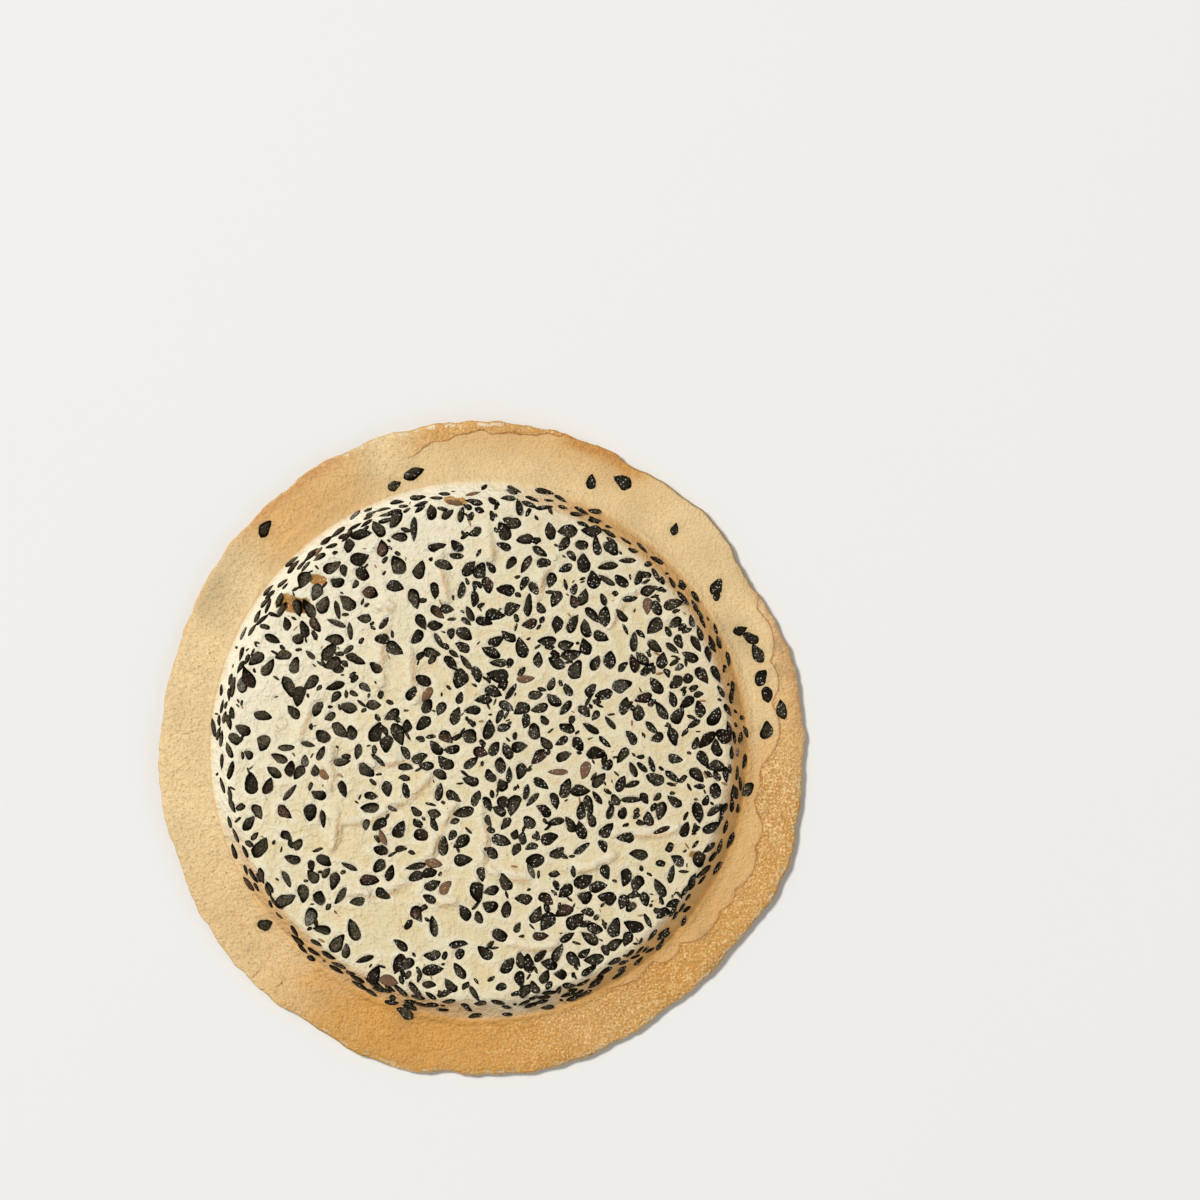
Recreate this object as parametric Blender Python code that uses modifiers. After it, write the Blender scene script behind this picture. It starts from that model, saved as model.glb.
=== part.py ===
"""Round iron-moulded cracker: a raised face crowded with black sesame, and a thin baked rim round it.

The cracker lies on its flat back with the raised face up. The origin is the centre of the back
face, +Z is up and sizes are in metres.
"""
import math
import random

import bmesh
import bpy
from mathutils import Matrix, Vector

MM = 0.001

# Moulded body. The rim is the thin skirt squeezed out between the two halves of the iron.
RIM_RADIUS = 52.5 * MM
FRONT_RADIUS = 43.2 * MM
BACK_RADIUS = 40.5 * MM
FRONT_TOP = 6.7 * MM
RIM_TOP = 2.3 * MM
RIM_FALL = 0.3 * MM
RIM_UNDERSIDE = 0.9 * MM
EDGE_THICKNESS = 0.9 * MM
WALL_STEEPNESS = 1.45
SHOULDER_ROUNDING = 1.1 * MM
FOOT_ROUNDING = 0.7 * MM
TURN_STEPS = 96

# How the outline strays from a circle: azimuth and half width in degrees, and the shift in mm
OUTLINE_LOBES = (
    (93, 27, 0.80), (165, 17, -1.00), (200, 8, -0.60), (225, 6, 0.20), (238, 5, -0.60),
    (254, 8, 0.80), (264, 2, -0.50), (281, 7, 0.30), (309, 12, -0.80), (318, 2, 0.35),
    (323, 3, -0.30), (338, 8, 0.85), (358, 2, -0.30), (10, 9, 0.15), (32, 6, -0.95),
    (45, 4, 0.35), (62, 2, -0.55),
)
# How the rim's edge lifts and dips as it cooled: waves round the rim, phase in degrees, height in mm
RIM_WAVES = ((2, 40, 0.16), (3, 205, 0.12), (7, 80, 0.07))

# Sesame seeds: all that lie on the front, and the largest of them that are fused to the solid
SEED_COUNT = 735
SEED_LENGTH = 3.05 * MM
SEED_THICKNESS = 0.9 * MM
SMALL_SHARE = 0.16
SEED_TAPER = 0.36
PRESSED_HEIGHT = 0.6 * MM
FUSED_SEEDS = 224
FUSED_SPACING = 3.5 * MM

# How they are scattered: tosses for each seed, how far two may overlap and how far a seed looks for
# its neighbours, the shares of the usual crowding on the wall and at its foot, how far in degrees a
# seed on the wall leans from lying along it, and what the iron leaves of its length and width
SCATTER_DRAW = 386
TOSSES = 7
SEED_OVERLAP = 0.12 * MM
SEED_REACH = 4.0 * MM
GRID_CELL = 6.0 * MM
BARE_LUCK = 0.25
CROWDED = 1.3
WALL_WIDTH = 3.2 * MM
WALL_CROWDING = 1.6
WALL_LEAN = 32
WALL_LENGTH_LEFT = 0.85
WALL_WIDTH_LEFT = 0.60
FOOT_WIDTH = 1.0 * MM
FOOT_CROWDING = 0.5

# Where the seeds lie thin or thick: x, y, half width and half height in mm, and the share of the
# usual crowding
PATCHES = (
    (-12.5, 21.0, 4.0, 7.5, 0.22), (-14.0, 9.0, 4.0, 5.0, 0.40), (-35.5, 5.5, 4.5, 5.0, 0.20),
    (-22.5, -11.5, 7.5, 4.5, 0.10), (-32.5, -8.5, 4.5, 4.5, 0.40), (-15.0, -27.0, 7.5, 4.2, 0.10),
    (-6.0, -28.0, 5.0, 4.0, 0.40), (26.5, -14.5, 7.5, 2.6, 0.30), (16.5, -18.5, 5.0, 2.6, 0.45),
    (2.0, -20.5, 5.0, 4.0, 0.55), (1.0, -33.0, 3.5, 5.0, 0.30), (-33.0, -27.0, 4.0, 4.0, 0.35),
    (-43.0, -8.0, 3.5, 8.0, 0.20), (-12.0, 30.0, 3.5, 3.5, 0.55), (0.0, 43.0, 12.0, 2.5, 0.6),
    (32.0, 30.0, 5.0, 5.0, 0.6), (-1.0, -41.5, 5.0, 2.5, 0.6), (20.0, 12.0, 4.0, 6.0, 0.8),
    (-29.5, 22.5, 5.0, 5.5, 2.4), (-17.0, 37.5, 7.0, 4.0, 2.0), (-22.0, 2.5, 5.0, 4.0, 1.9),
    (-4.0, 20.5, 4.5, 5.0, 1.5), (6.5, 4.0, 9.0, 7.0, 1.7), (6.5, -10.0, 6.0, 5.0, 1.9),
    (31.0, 14.0, 6.0, 7.0, 2.0), (37.5, -6.0, 5.0, 8.0, 2.2), (24.5, -27.0, 8.0, 6.0, 2.1),
    (14.0, -38.0, 9.0, 4.5, 2.3), (-12.5, -39.0, 7.0, 3.5, 1.6), (15.5, 28.5, 8.0, 7.0, 1.6),
)
# Seeds squeezed out on to the rim: azimuth in degrees, radius in mm and heading in degrees
RIM_SEEDS = (
    (4.2, 46.3, 80), (7.8, 49.4, 100), (11.5, 47.4, 100), (14.5, 47.3, 60), (19.3, 47.7, 120),
    (24.8, 46.6, 20), (22.6, 47.5, 150), (33.0, 46.0, 70), (34.8, 47.0, 60), (48.6, 47.7, 75),
    (62.0, 49.4, 150), (67.5, 47.0, 80), (103.3, 45.9, 25), (107.8, 45.0, 30), (134.0, 49.8, 60),
    (219.0, 44.6, 15), (254.0, 44.2, 150), (352.0, 43.9, 40),
)

COLLECTION = "rice_cracker"
CRUST_COLOR = (0.72, 0.62, 0.40, 1.0)
SEED_COLOR = (0.025, 0.020, 0.012, 1.0)


def clear_scene():
    for obj in list(bpy.data.objects):
        bpy.data.objects.remove(obj, do_unlink=True)


def make_collection(name):
    collection = bpy.data.collections.new(name)
    bpy.context.scene.collection.children.link(collection)
    return collection


def make_material(name, color, roughness):
    material = bpy.data.materials.new(name)
    material.diffuse_color = color
    material.use_nodes = True
    shader = material.node_tree.nodes["Principled BSDF"]
    shader.inputs["Base Color"].default_value = color
    shader.inputs["Roughness"].default_value = roughness
    shader.inputs["Metallic"].default_value = 0.0
    return material


def soft_min(a, b, blend):
    """The lower of two heights, with the corner between them rounded over blend."""
    near = max(blend - abs(a - b), 0.0) / blend
    return min(a, b) - near * near * blend / 4


def front_height(r):
    """Height of the front at radius r: the flat face, the sloping wall and the rim."""
    wall = RIM_TOP + (FRONT_RADIUS - r) * WALL_STEEPNESS
    rim = RIM_TOP - RIM_FALL * max(r - FRONT_RADIUS, 0.0) / (RIM_RADIUS - FRONT_RADIUS)
    raised = soft_min(FRONT_TOP, wall, SHOULDER_ROUNDING)
    return -soft_min(-raised, -rim, FOOT_ROUNDING)


def body_profile():
    """Half section from the edge of the flat face, out round the rim's edge, to that of the flat back."""
    wall = tuple(FRONT_RADIUS + offset * MM for offset in (-4.1, -3.1, -2.5, -0.7, 0.1, 1.3))
    section = [(r, front_height(r)) for r in wall + (RIM_RADIUS - 0.9 * MM,)]
    edge_top = front_height(RIM_RADIUS)
    edge_middle = edge_top - EDGE_THICKNESS / 2
    section.append((RIM_RADIUS - 0.2 * MM, edge_middle + 0.25 * EDGE_THICKNESS))
    section.append((RIM_RADIUS, edge_middle))
    section.append((RIM_RADIUS - 0.2 * MM, edge_middle - 0.25 * EDGE_THICKNESS))
    section.append((RIM_RADIUS - 0.9 * MM, edge_top - EDGE_THICKNESS))
    section.append((BACK_RADIUS + 1.3 * MM, RIM_UNDERSIDE))
    section.append((BACK_RADIUS, 0.0))
    return section


def outline_shift(azimuth):
    """How far the rim's edge lies outside the plain circle at an azimuth in degrees."""
    shift = 0.0
    for centre, half_width, height in OUTLINE_LOBES:
        away = (azimuth - centre + 180) % 360 - 180
        shift += height * MM * math.exp(-0.7 * (away / half_width) ** 2)
    return shift


def edge_lift(azimuth):
    """How far the rim's edge lifts or dips at an azimuth in degrees."""
    return sum(
        height * MM * math.cos(waves * math.radians(azimuth - phase)) for waves, phase, height in RIM_WAVES
    )


def shape_rim(point):
    """Move a point of the turned body to where the uneven rim puts it."""
    r = math.hypot(point.x, point.y)
    root = FRONT_RADIUS + 1.5 * MM
    if r <= root:
        return point.copy()
    azimuth = math.degrees(math.atan2(point.y, point.x))
    share = (r - root) / (RIM_RADIUS - root)
    wider = 1 + outline_shift(azimuth) * share / r
    return Vector((point.x * wider, point.y * wider, point.z + edge_lift(azimuth) * share * share))


def apply_modifiers(obj):
    """Swap an object's mesh for the one that its modifiers give."""
    depsgraph = bpy.context.evaluated_depsgraph_get()
    depsgraph.update()
    result = bpy.data.meshes.new_from_object(obj.evaluated_get(depsgraph))
    plain = obj.data
    obj.modifiers.clear()
    obj.data = result
    bpy.data.meshes.remove(plain)
    result.name = obj.name


def make_body(name, collection, material):
    """The moulded cracker without its seeds, turned from its half section."""
    section = body_profile()
    mesh = bpy.data.meshes.new(name)
    edges = [(i, i + 1) for i in range(len(section) - 1)]
    mesh.from_pydata([(r, 0.0, z) for r, z in section], edges, [])
    body = bpy.data.objects.new(name, mesh)
    collection.objects.link(body)
    screw = body.modifiers.new("turn", "SCREW")
    screw.axis = "Z"
    screw.angle = math.tau
    screw.steps = TURN_STEPS
    screw.render_steps = TURN_STEPS
    screw.use_merge_vertices = True
    screw.merge_threshold = 0.01 * MM
    apply_modifiers(body)
    turned = bmesh.new()
    turned.from_mesh(body.data)
    bmesh.ops.holes_fill(turned, edges=turned.edges, sides=TURN_STEPS)
    for vertex in turned.verts:
        vertex.co = shape_rim(vertex.co)
    turned.to_mesh(body.data)
    turned.free()
    body.data.materials.append(material)
    return body


def crowding(x, y):
    """Share of the usual crowding of seeds at a place on the front."""
    share = 1.0
    for patch_x, patch_y, half_x, half_y, factor in PATCHES:
        away = ((x / MM - patch_x) / half_x) ** 2 + ((y / MM - patch_y) / half_y) ** 2
        share *= 1 + (factor - 1) * math.exp(-0.8 * away * away)
    r = math.hypot(x, y)
    if r > FRONT_RADIUS - FOOT_WIDTH:
        return FOOT_CROWDING * share
    if r > FRONT_RADIUS - WALL_WIDTH:
        return WALL_CROWDING * share
    return share


def draw_seed(rng):
    """One seed's size and the way it lies, before it has a place."""
    length = min(max(rng.gauss(SEED_LENGTH, 0.24 * MM), 2.4 * MM), 3.6 * MM)
    if rng.random() < SMALL_SHARE:
        length *= rng.uniform(0.58, 0.85)
    seed = {
        "length": length,
        "width": length * rng.uniform(0.48, 0.63),
        "heading": rng.uniform(0, math.tau),
        "sink": rng.uniform(-0.22, 0.10),
        "pitch": rng.gauss(0, 8),
        "roll": rng.gauss(0, 13),
        "tone": rng.random(),
    }
    lying = rng.random()
    if lying < 0.20:
        seed["roll"] += rng.choice((-1, 1)) * rng.uniform(30, 80)
    elif lying < 0.30:
        seed["pitch"] += rng.choice((-1, 1)) * rng.uniform(15, 32)
    return seed


def outline_circles(seed, x, y):
    """Two circles, at the round and the pointed end, that stand for a seed's outline."""
    circles = []
    for along, share in ((-0.20, 0.48), (0.24, 0.34)):
        at_x = x + math.cos(seed["heading"]) * along * seed["length"]
        at_y = y + math.sin(seed["heading"]) * along * seed["length"]
        circles.append((at_x, at_y, front_height(math.hypot(at_x, at_y)), share * seed["width"]))
    return circles


def lie_on_wall(seed, azimuth):
    """The seed as the iron leaves it on the wall: turned to lie along it, and scraped small."""
    way = 1 if seed["heading"] > math.pi else -1
    lean = (seed["heading"] % math.pi / math.pi - 0.5) * 2 * math.radians(WALL_LEAN)
    return dict(
        seed,
        heading=azimuth + way * math.pi / 2 + lean,
        length=seed["length"] * WALL_LENGTH_LEFT,
        width=seed["width"] * WALL_WIDTH_LEFT,
    )


def room_between(mine, others):
    """Smallest gap from one seed's circles to those of its neighbours, up to the reach."""
    room = SEED_REACH
    for other in others:
        for a in mine:
            for b in other:
                room = min(room, math.dist(a[:3], b[:3]) - a[3] - b[3])
    return room


def scattered_seeds():
    """Seeds on the front, each tossed a few times and kept where its patch leaves it most room."""
    rng = random.Random(SCATTER_DRAW)
    cells = {}
    seeds = []
    while len(seeds) < SEED_COUNT:
        seed = draw_seed(rng)
        best = None
        for _ in range(TOSSES):
            r = FRONT_RADIUS * math.sqrt(rng.random())
            turn = rng.uniform(0, math.tau)
            x = r * math.cos(turn)
            y = r * math.sin(turn)
            share = crowding(x, y)
            if rng.random() > BARE_LUCK + (1 - BARE_LUCK) * min(share / CROWDED, 1):
                continue
            laid = lie_on_wall(seed, turn) if r > FRONT_RADIUS - WALL_WIDTH else seed
            mine = outline_circles(laid, x, y)
            column = int(x // GRID_CELL)
            row = int(y // GRID_CELL)
            around = [(column + i, row + j) for i in (-1, 0, 1) for j in (-1, 0, 1)]
            others = [other for key in around for other in cells.get(key, ())]
            room = room_between(mine, others)
            score = (room + 5 * SEED_OVERLAP) * share
            if room > -SEED_OVERLAP and (best is None or score > best[0]):
                best = (score, dict(laid, x=x, y=y), mine, (column, row))
        if best is None:
            continue
        _, laid, mine, key = best
        cells.setdefault(key, []).append(mine)
        seeds.append(laid)
    return seeds


def rim_seeds():
    """The few seeds that lie out on the rim, at the places given."""
    rng = random.Random(SCATTER_DRAW + 1)
    seeds = []
    for azimuth, radius, heading in RIM_SEEDS:
        seed = draw_seed(rng)
        seed["x"] = radius * MM * math.cos(math.radians(azimuth))
        seed["y"] = radius * MM * math.sin(math.radians(azimuth))
        seed["heading"] = math.radians(heading)
        seed["roll"] *= 0.3
        seed["pitch"] *= 0.3
        seeds.append(seed)
    return seeds


def surface_place(x, y):
    """Matrix of the front's surface at a place: X runs outwards along it and Z stands square to it."""
    step = 0.2 * MM
    r = math.hypot(x, y)
    inner = max(r - step, 0.0)
    slope = (front_height(r + step) - front_height(inner)) / (r + step - inner)
    outward = Vector((x, y, slope * r)).normalized()
    around = Vector((-y, x, 0.0)).normalized()
    turn = Matrix((outward, around, outward.cross(around))).transposed().to_4x4()
    return Matrix.Translation(shape_rim(Vector((x, y, front_height(r))))) @ turn


def seed_point(seed, point):
    """Where a point of a unit ball goes on a seed that lies on a level surface, pressed in by the iron."""
    taper = 1 - SEED_TAPER * point.x
    shaped = Vector((
        point.x * seed["length"] / 2,
        point.y * seed["width"] / 2 * taper,
        point.z * SEED_THICKNESS / 2 * math.sqrt(taper),
    ))
    shaped.rotate(Matrix.Rotation(math.radians(seed["roll"]), 3, "X"))
    shaped.rotate(Matrix.Rotation(math.radians(seed["pitch"]), 3, "Y"))
    shaped.z += seed["sink"] * SEED_THICKNESS / 2
    if shaped.z > 0:
        shaped.z /= 1 + shaped.z / PRESSED_HEIGHT
    azimuth = math.atan2(seed["y"], seed["x"])
    shaped.rotate(Matrix.Rotation(seed["heading"] - azimuth, 3, "Z"))
    return shaped


def make_seed(name, seed, collection, material):
    """A flat teardrop: round at one end, pointed at the other, set into the front."""
    blank = bmesh.new()
    bmesh.ops.create_uvsphere(blank, u_segments=6, v_segments=3, radius=1.0)
    bmesh.ops.rotate(blank, cent=(0, 0, 0), matrix=Matrix.Rotation(math.pi / 2, 3, "Y"), verts=blank.verts)
    for vertex in blank.verts:
        vertex.co = seed_point(seed, vertex.co)
    blank.transform(surface_place(seed["x"], seed["y"]))
    mesh = bpy.data.meshes.new(name)
    blank.to_mesh(mesh)
    blank.free()
    mesh.materials.append(material)
    obj = bpy.data.objects.new(name, mesh)
    obj.hide_render = True
    obj.display_type = "WIRE"
    collection.objects.link(obj)
    return obj


def seeds_to_fuse(scattered):
    """The largest of the scattered seeds, kept where no seed kept before them lies close."""
    kept = []
    for seed in sorted(scattered, key=lambda each: each["length"] * each["width"], reverse=True):
        share = min(max(crowding(seed["x"], seed["y"]), 0.5), 1.6)
        spacing = FUSED_SPACING / math.sqrt(share)
        if all(math.hypot(seed["x"] - other["x"], seed["y"] - other["y"]) > spacing for other in kept):
            kept.append(seed)
    return kept[:FUSED_SEEDS]


def fuse_seeds(body, toppings, material):
    """Join the seeds to the body in one union, then drop them."""
    placed = seeds_to_fuse(scattered_seeds()) + rim_seeds()
    for number, seed in enumerate(placed):
        make_seed(f"seed_{number:03d}", seed, toppings, material)
    union = body.modifiers.new("seeds", "BOOLEAN")
    union.operation = "UNION"
    union.operand_type = "COLLECTION"
    union.collection = toppings
    union.solver = "EXACT"
    union.material_mode = "TRANSFER"
    apply_modifiers(body)
    for obj in list(toppings.objects):
        bpy.data.objects.remove(obj, do_unlink=True)


def main():
    clear_scene()
    parts = make_collection(COLLECTION)
    toppings = make_collection("toppings")
    crust = make_material("baked_crust", CRUST_COLOR, 0.75)
    sesame = make_material("black_sesame", SEED_COLOR, 0.45)
    body = make_body("cracker", parts, crust)
    fuse_seeds(body, toppings, sesame)
    body.data.shade_smooth()
    body.data.set_sharp_from_angle(angle=math.radians(30))


main()
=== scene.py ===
"""Looks of a round iron-moulded cracker: seeded face, baked rim, black sesame and a plain stage."""

import functools
import math
import random

import bmesh
import bpy
import numpy as np
from bpy.props import FloatProperty, FloatVectorProperty, IntProperty, PointerProperty
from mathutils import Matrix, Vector


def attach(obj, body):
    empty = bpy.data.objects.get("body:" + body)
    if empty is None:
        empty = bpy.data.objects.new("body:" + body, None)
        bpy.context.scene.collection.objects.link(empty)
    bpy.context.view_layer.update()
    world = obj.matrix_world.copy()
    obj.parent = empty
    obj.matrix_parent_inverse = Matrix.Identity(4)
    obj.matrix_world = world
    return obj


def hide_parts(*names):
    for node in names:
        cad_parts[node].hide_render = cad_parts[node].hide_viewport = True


bl_info = {
    "name": "Moulded sesame cracker",
    "version": (1, 0, 0),
    "blender": (4, 5, 0),
    "location": "3D View > Sidebar > Cracker",
    "description": "Builds a round iron-moulded cracker with black sesame and its studio stage",
    "category": "Object",
}

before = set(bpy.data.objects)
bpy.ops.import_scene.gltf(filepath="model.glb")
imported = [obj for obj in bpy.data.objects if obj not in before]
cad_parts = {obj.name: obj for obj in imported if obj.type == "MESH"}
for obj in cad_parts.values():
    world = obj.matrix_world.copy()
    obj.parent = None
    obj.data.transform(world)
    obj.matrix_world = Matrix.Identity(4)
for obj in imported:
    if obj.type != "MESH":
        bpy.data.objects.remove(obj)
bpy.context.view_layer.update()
BODY = "root"
NODE = "cracker"
MM = 0.001

# Moulded body, as the solid has it
RIM_RADIUS = 52.5 * MM
FRONT_RADIUS = 43.2 * MM
BACK_RADIUS = 40.5 * MM
FRONT_TOP = 6.7 * MM
RIM_TOP = 2.3 * MM
RIM_FALL = 0.3 * MM
RIM_UNDERSIDE = 0.9 * MM
EDGE_THICKNESS = 0.9 * MM
EDGE_ROUNDING = 0.9 * MM
WALL_STEEPNESS = 1.45
SHOULDER_ROUNDING = 1.1 * MM
FOOT_ROUNDING = 0.7 * MM

# Points of the crust's mesh: how far apart along its section, and how many in the rings round it,
# which double outwards wherever their points would lie further apart than the spacing
FACE_SPACING = 0.40 * MM
WALL_SPACING = 0.22 * MM
RIM_SPACING = 0.30 * MM
RING_SPACING = 0.45 * MM
MIDDLE_STEPS = 24

# How the outline strays from a circle: azimuth and half width in degrees, and the shift in mm
OUTLINE_LOBES = (
    (93, 27, 0.80), (165, 17, -1.00), (200, 8, -0.60), (225, 6, 0.20), (238, 5, -0.60),
    (254, 8, 0.80), (264, 2, -0.50), (281, 7, 0.30), (309, 12, -0.80), (318, 2, 0.35),
    (323, 3, -0.30), (338, 8, 0.85), (358, 2, -0.30), (10, 9, 0.15), (32, 6, -0.95),
    (45, 4, 0.35), (62, 2, -0.55),
)
# How the rim's edge lifts and dips as it cooled: waves round the rim, phase in degrees, height in mm
RIM_WAVES = ((2, 40, 0.16), (3, 205, 0.12), (7, 80, 0.07))

# The smooth skin's edge on the rim: azimuth in degrees and radius in mm. Where it lies at the foot
# of the wall, the whole rim is the rough dough that squeezed out past it. On the right it ends in
# round lobes, as wide and far apart as given here.
SKIN_EDGE = (
    (0, 48.1), (5, 48.7), (10, 49.7), (17, 50.3), (25, 51.4), (32, 54.5), (66, 54.5), (72, 52.6),
    (80, 51.3), (90, 50.8), (95, 50.3), (100, 49.4), (105, 48.4), (110, 46.8), (125, 46.4),
    (140, 45.6), (155, 42.0), (288, 41.5), (300, 43.8), (305, 44.7), (312, 45.8), (318, 46.6),
    (325, 47.9), (335, 48.2), (345, 47.9), (349, 47.0), (352, 45.8), (355, 47.0),
)
LOBES_FROM = 296
LOBES_TO = 392
LOBE_RADIUS = (3.0 * MM, 8.0 * MM)
LOBE_TURN = (5.0, 12.0)

# Ornament raised on the face: petals that fan upwards over a flowing stream. Each ridge is a bowed
# line: start and end in mm, and how far its middle bows to the left of the way it runs.
RIDGES = (
    (-15.9, 23.3, -14.0, 23.2, 0.2), (-14.8, 22.0, -15.5, 10.6, -0.8), (-11.0, 16.3, -10.3, 8.2, -0.4),
    (-18.1, -2.3, -10.0, -0.7, 0.1), (-23.9, 0.6, -24.2, -5.8, 0.2), (-23.2, -9.5, -23.7, -15.5, 0.2),
    (-21.3, -11.1, -15.2, -9.4, -0.6), (-15.2, -9.4, -7.6, -3.4, -0.4), (-3.9, -8.2, -7.9, -16.8, -0.7),
    (0.3, -8.2, -0.3, -20.6, 0.9), (-6.3, 33.2, -5.2, 24.4, -0.5), (1.3, 35.0, 1.8, 30.6, 0.2),
    (-20.8, -22.7, -11.9, -20.8, -0.9), (-9.2, -22.4, -3.9, -24.0, -0.8), (1.8, -19.2, 8.5, -20.0, -0.5),
    (14.2, -18.7, 21.5, -16.8, -0.7), (21.9, -13.1, 31.9, -12.3, -0.3), (9.0, 24.0, 12.0, 31.0, 0.8),
    (21.0, 20.5, 26.0, 26.5, 0.8), (4.8, -30.4, 13.0, -30.8, -0.8), (-29.0, 2.4, -25.6, 8.8, 0.7),
)
RIDGE_WIDTH = 2.0 * MM
RIDGE_HEIGHT = 0.72 * MM
PRESSED_RIDGE = 0.35  # share of a ridge's height that is left under a seed
# Thin rings left by bubbles under the iron: x, y and radius in mm
BUBBLES = (
    (-29.4, -11.1, 1.45), (-33.4, -13.4, 1.25), (-26.6, -12.9, 0.95), (-27.2, -22.4, 1.2),
    (-10.4, -25.4, 1.3), (-31.8, 4.6, 1.1), (14.2, 9.0, 0.9), (-19.5, 13.5, 1.2), (-25.2, 8.4, 1.6),
)
# Spots where the skin has torn open over toasted dough: x, y and half length and half width in mm
TEARS = ((-29.6, 23.5, 2.7, 1.5), (-3.9, 40.3, 1.6, 0.7), (-25.8, 27.6, 1.2, 0.8), (34.6, -16.6, 0.8, 0.5))
# Creases across the rim: azimuth in degrees, start and end radius in mm and lean in mm
CREASES = (
    (204, 46.5, 51.8, 0.8), (214, 47.5, 52.3, -1.2), (223, 45.5, 52.0, 1.8), (229, 47.0, 51.5, 0.9),
    (257, 44.2, 53.0, -2.2), (287, 47.0, 52.4, 1.9), (188, 48.5, 52.0, -0.6), (176, 46.0, 49.5, 0.7),
    (196, 44.6, 47.6, 1.0), (243, 46.5, 50.5, 0.8),
)
# Heights and depths, and half the widths that go with them
RING_HEIGHT, RING_WIDTH = 0.11 * MM, 0.30 * MM
SEED_LIP, SEED_LIP_WIDTH = 0.06 * MM, 0.30 * MM
SKIN_LIP, SKIN_LIP_WIDTH = 0.07 * MM, 0.40 * MM
CREASE_DEPTH, CREASE_WIDTH = 0.16 * MM, 0.28 * MM
TEAR_DEPTH = 0.5 * MM
SEED_BED = 0.12 * MM
# How far the rough dough lies over the skin at the top of the rim, and under it elsewhere
TOP_STEP = 0.20 * MM
SIDE_STEP = 0.17 * MM
# Uneven dough, in layers of lumps: their size and height in mm and the draw that places them
FACE_LUMPS = ((14, 0.07, 21), (4.5, 0.045, 22), (1.5, 0.018, 23))
WALL_LUMPS = ((5, 0.14, 51), (1.5, 0.07, 57))
RIM_LUMPS = ((7, 0.14, 52), (2.2, 0.05, 53))
ROUGH_LUMPS = ((0.85, 0.045, 54),)
TOP_LUMPS = ((1.5, 0.135, 58),)
EDGE_NIBBLES = ((2.4, 0.24, 55), (0.9, 0.11, 56))
SKIN_RAGS = ((2.6, 0.5, 31), (0.9, 0.14, 32))
LOBE_RAGS = ((0.8, 0.07, 33),)
# Radii over which the relief of the face, the wall, the rim and its edge sets in or ends
FACE_END = (39.2 * MM, 41.4 * MM)
WALL_START = (39.6 * MM, 40.6 * MM)
WALL_END = (43.0 * MM, 44.2 * MM)
RIM_START = (43.6 * MM, 45.0 * MM)
EDGE_START = (50.5 * MM, 52.3 * MM)
# Grey-green shade over seeds that lie just under the skin: x, y, half width in mm and strength
SMUDGES = (
    (-45.0, 24.3, 3.2, 0.52), (-42.5, 27.5, 2.2, 0.38), (25.2, 38.1, 2.6, 0.20), (48.5, 13.1, 1.4, 0.45),
    (48.2, 17.0, 1.3, 0.60), (-11.1, -42.6, 2.0, 0.36), (-40.8, 31.8, 3.2, 0.34), (-17.5, 44.5, 2.4, 0.30),
    (-25.5, -40.5, 2.2, 0.24), (-37.5, -32.0, 1.4, 0.24), (-21.0, -45.0, 2.2, 0.18), (36.4, -29.9, 1.0, 0.55),
    (38.2, -35.6, 1.4, 0.65), (30.0, 33.5, 2.0, 0.12), (-49.0, 5.0, 2.0, 0.10), (-48.2, -14.0, 2.4, 0.10),
    (20.5, 44.5, 2.2, 0.13), (40.6, 20.0, 2.4, 0.34), (42.6, 17.0, 1.6, 0.30),
)

# Sesame seeds, as the solid has them
SEED_COUNT = 735
SEED_LENGTH = 3.05 * MM
SEED_THICKNESS = 0.9 * MM
SMALL_SHARE = 0.16
SEED_TAPER = 0.36
PRESSED_HEIGHT = 0.6 * MM

# How they are scattered: tosses for each seed, how far two may overlap and how far a seed looks for
# its neighbours, the shares of the usual crowding on the wall and at its foot, how far in degrees a
# seed on the wall leans from lying along it, and what the iron leaves of its length and width
SCATTER_DRAW = 386
TOSSES = 7
SEED_OVERLAP = 0.12 * MM
SEED_REACH = 4.0 * MM
GRID_CELL = 6.0 * MM
BARE_LUCK = 0.25
CROWDED = 1.3
WALL_WIDTH = 3.2 * MM
WALL_CROWDING = 1.6
WALL_LEAN = 32
WALL_LENGTH_LEFT = 0.85
WALL_WIDTH_LEFT = 0.60
FOOT_WIDTH = 1.0 * MM
FOOT_CROWDING = 0.5

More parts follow.
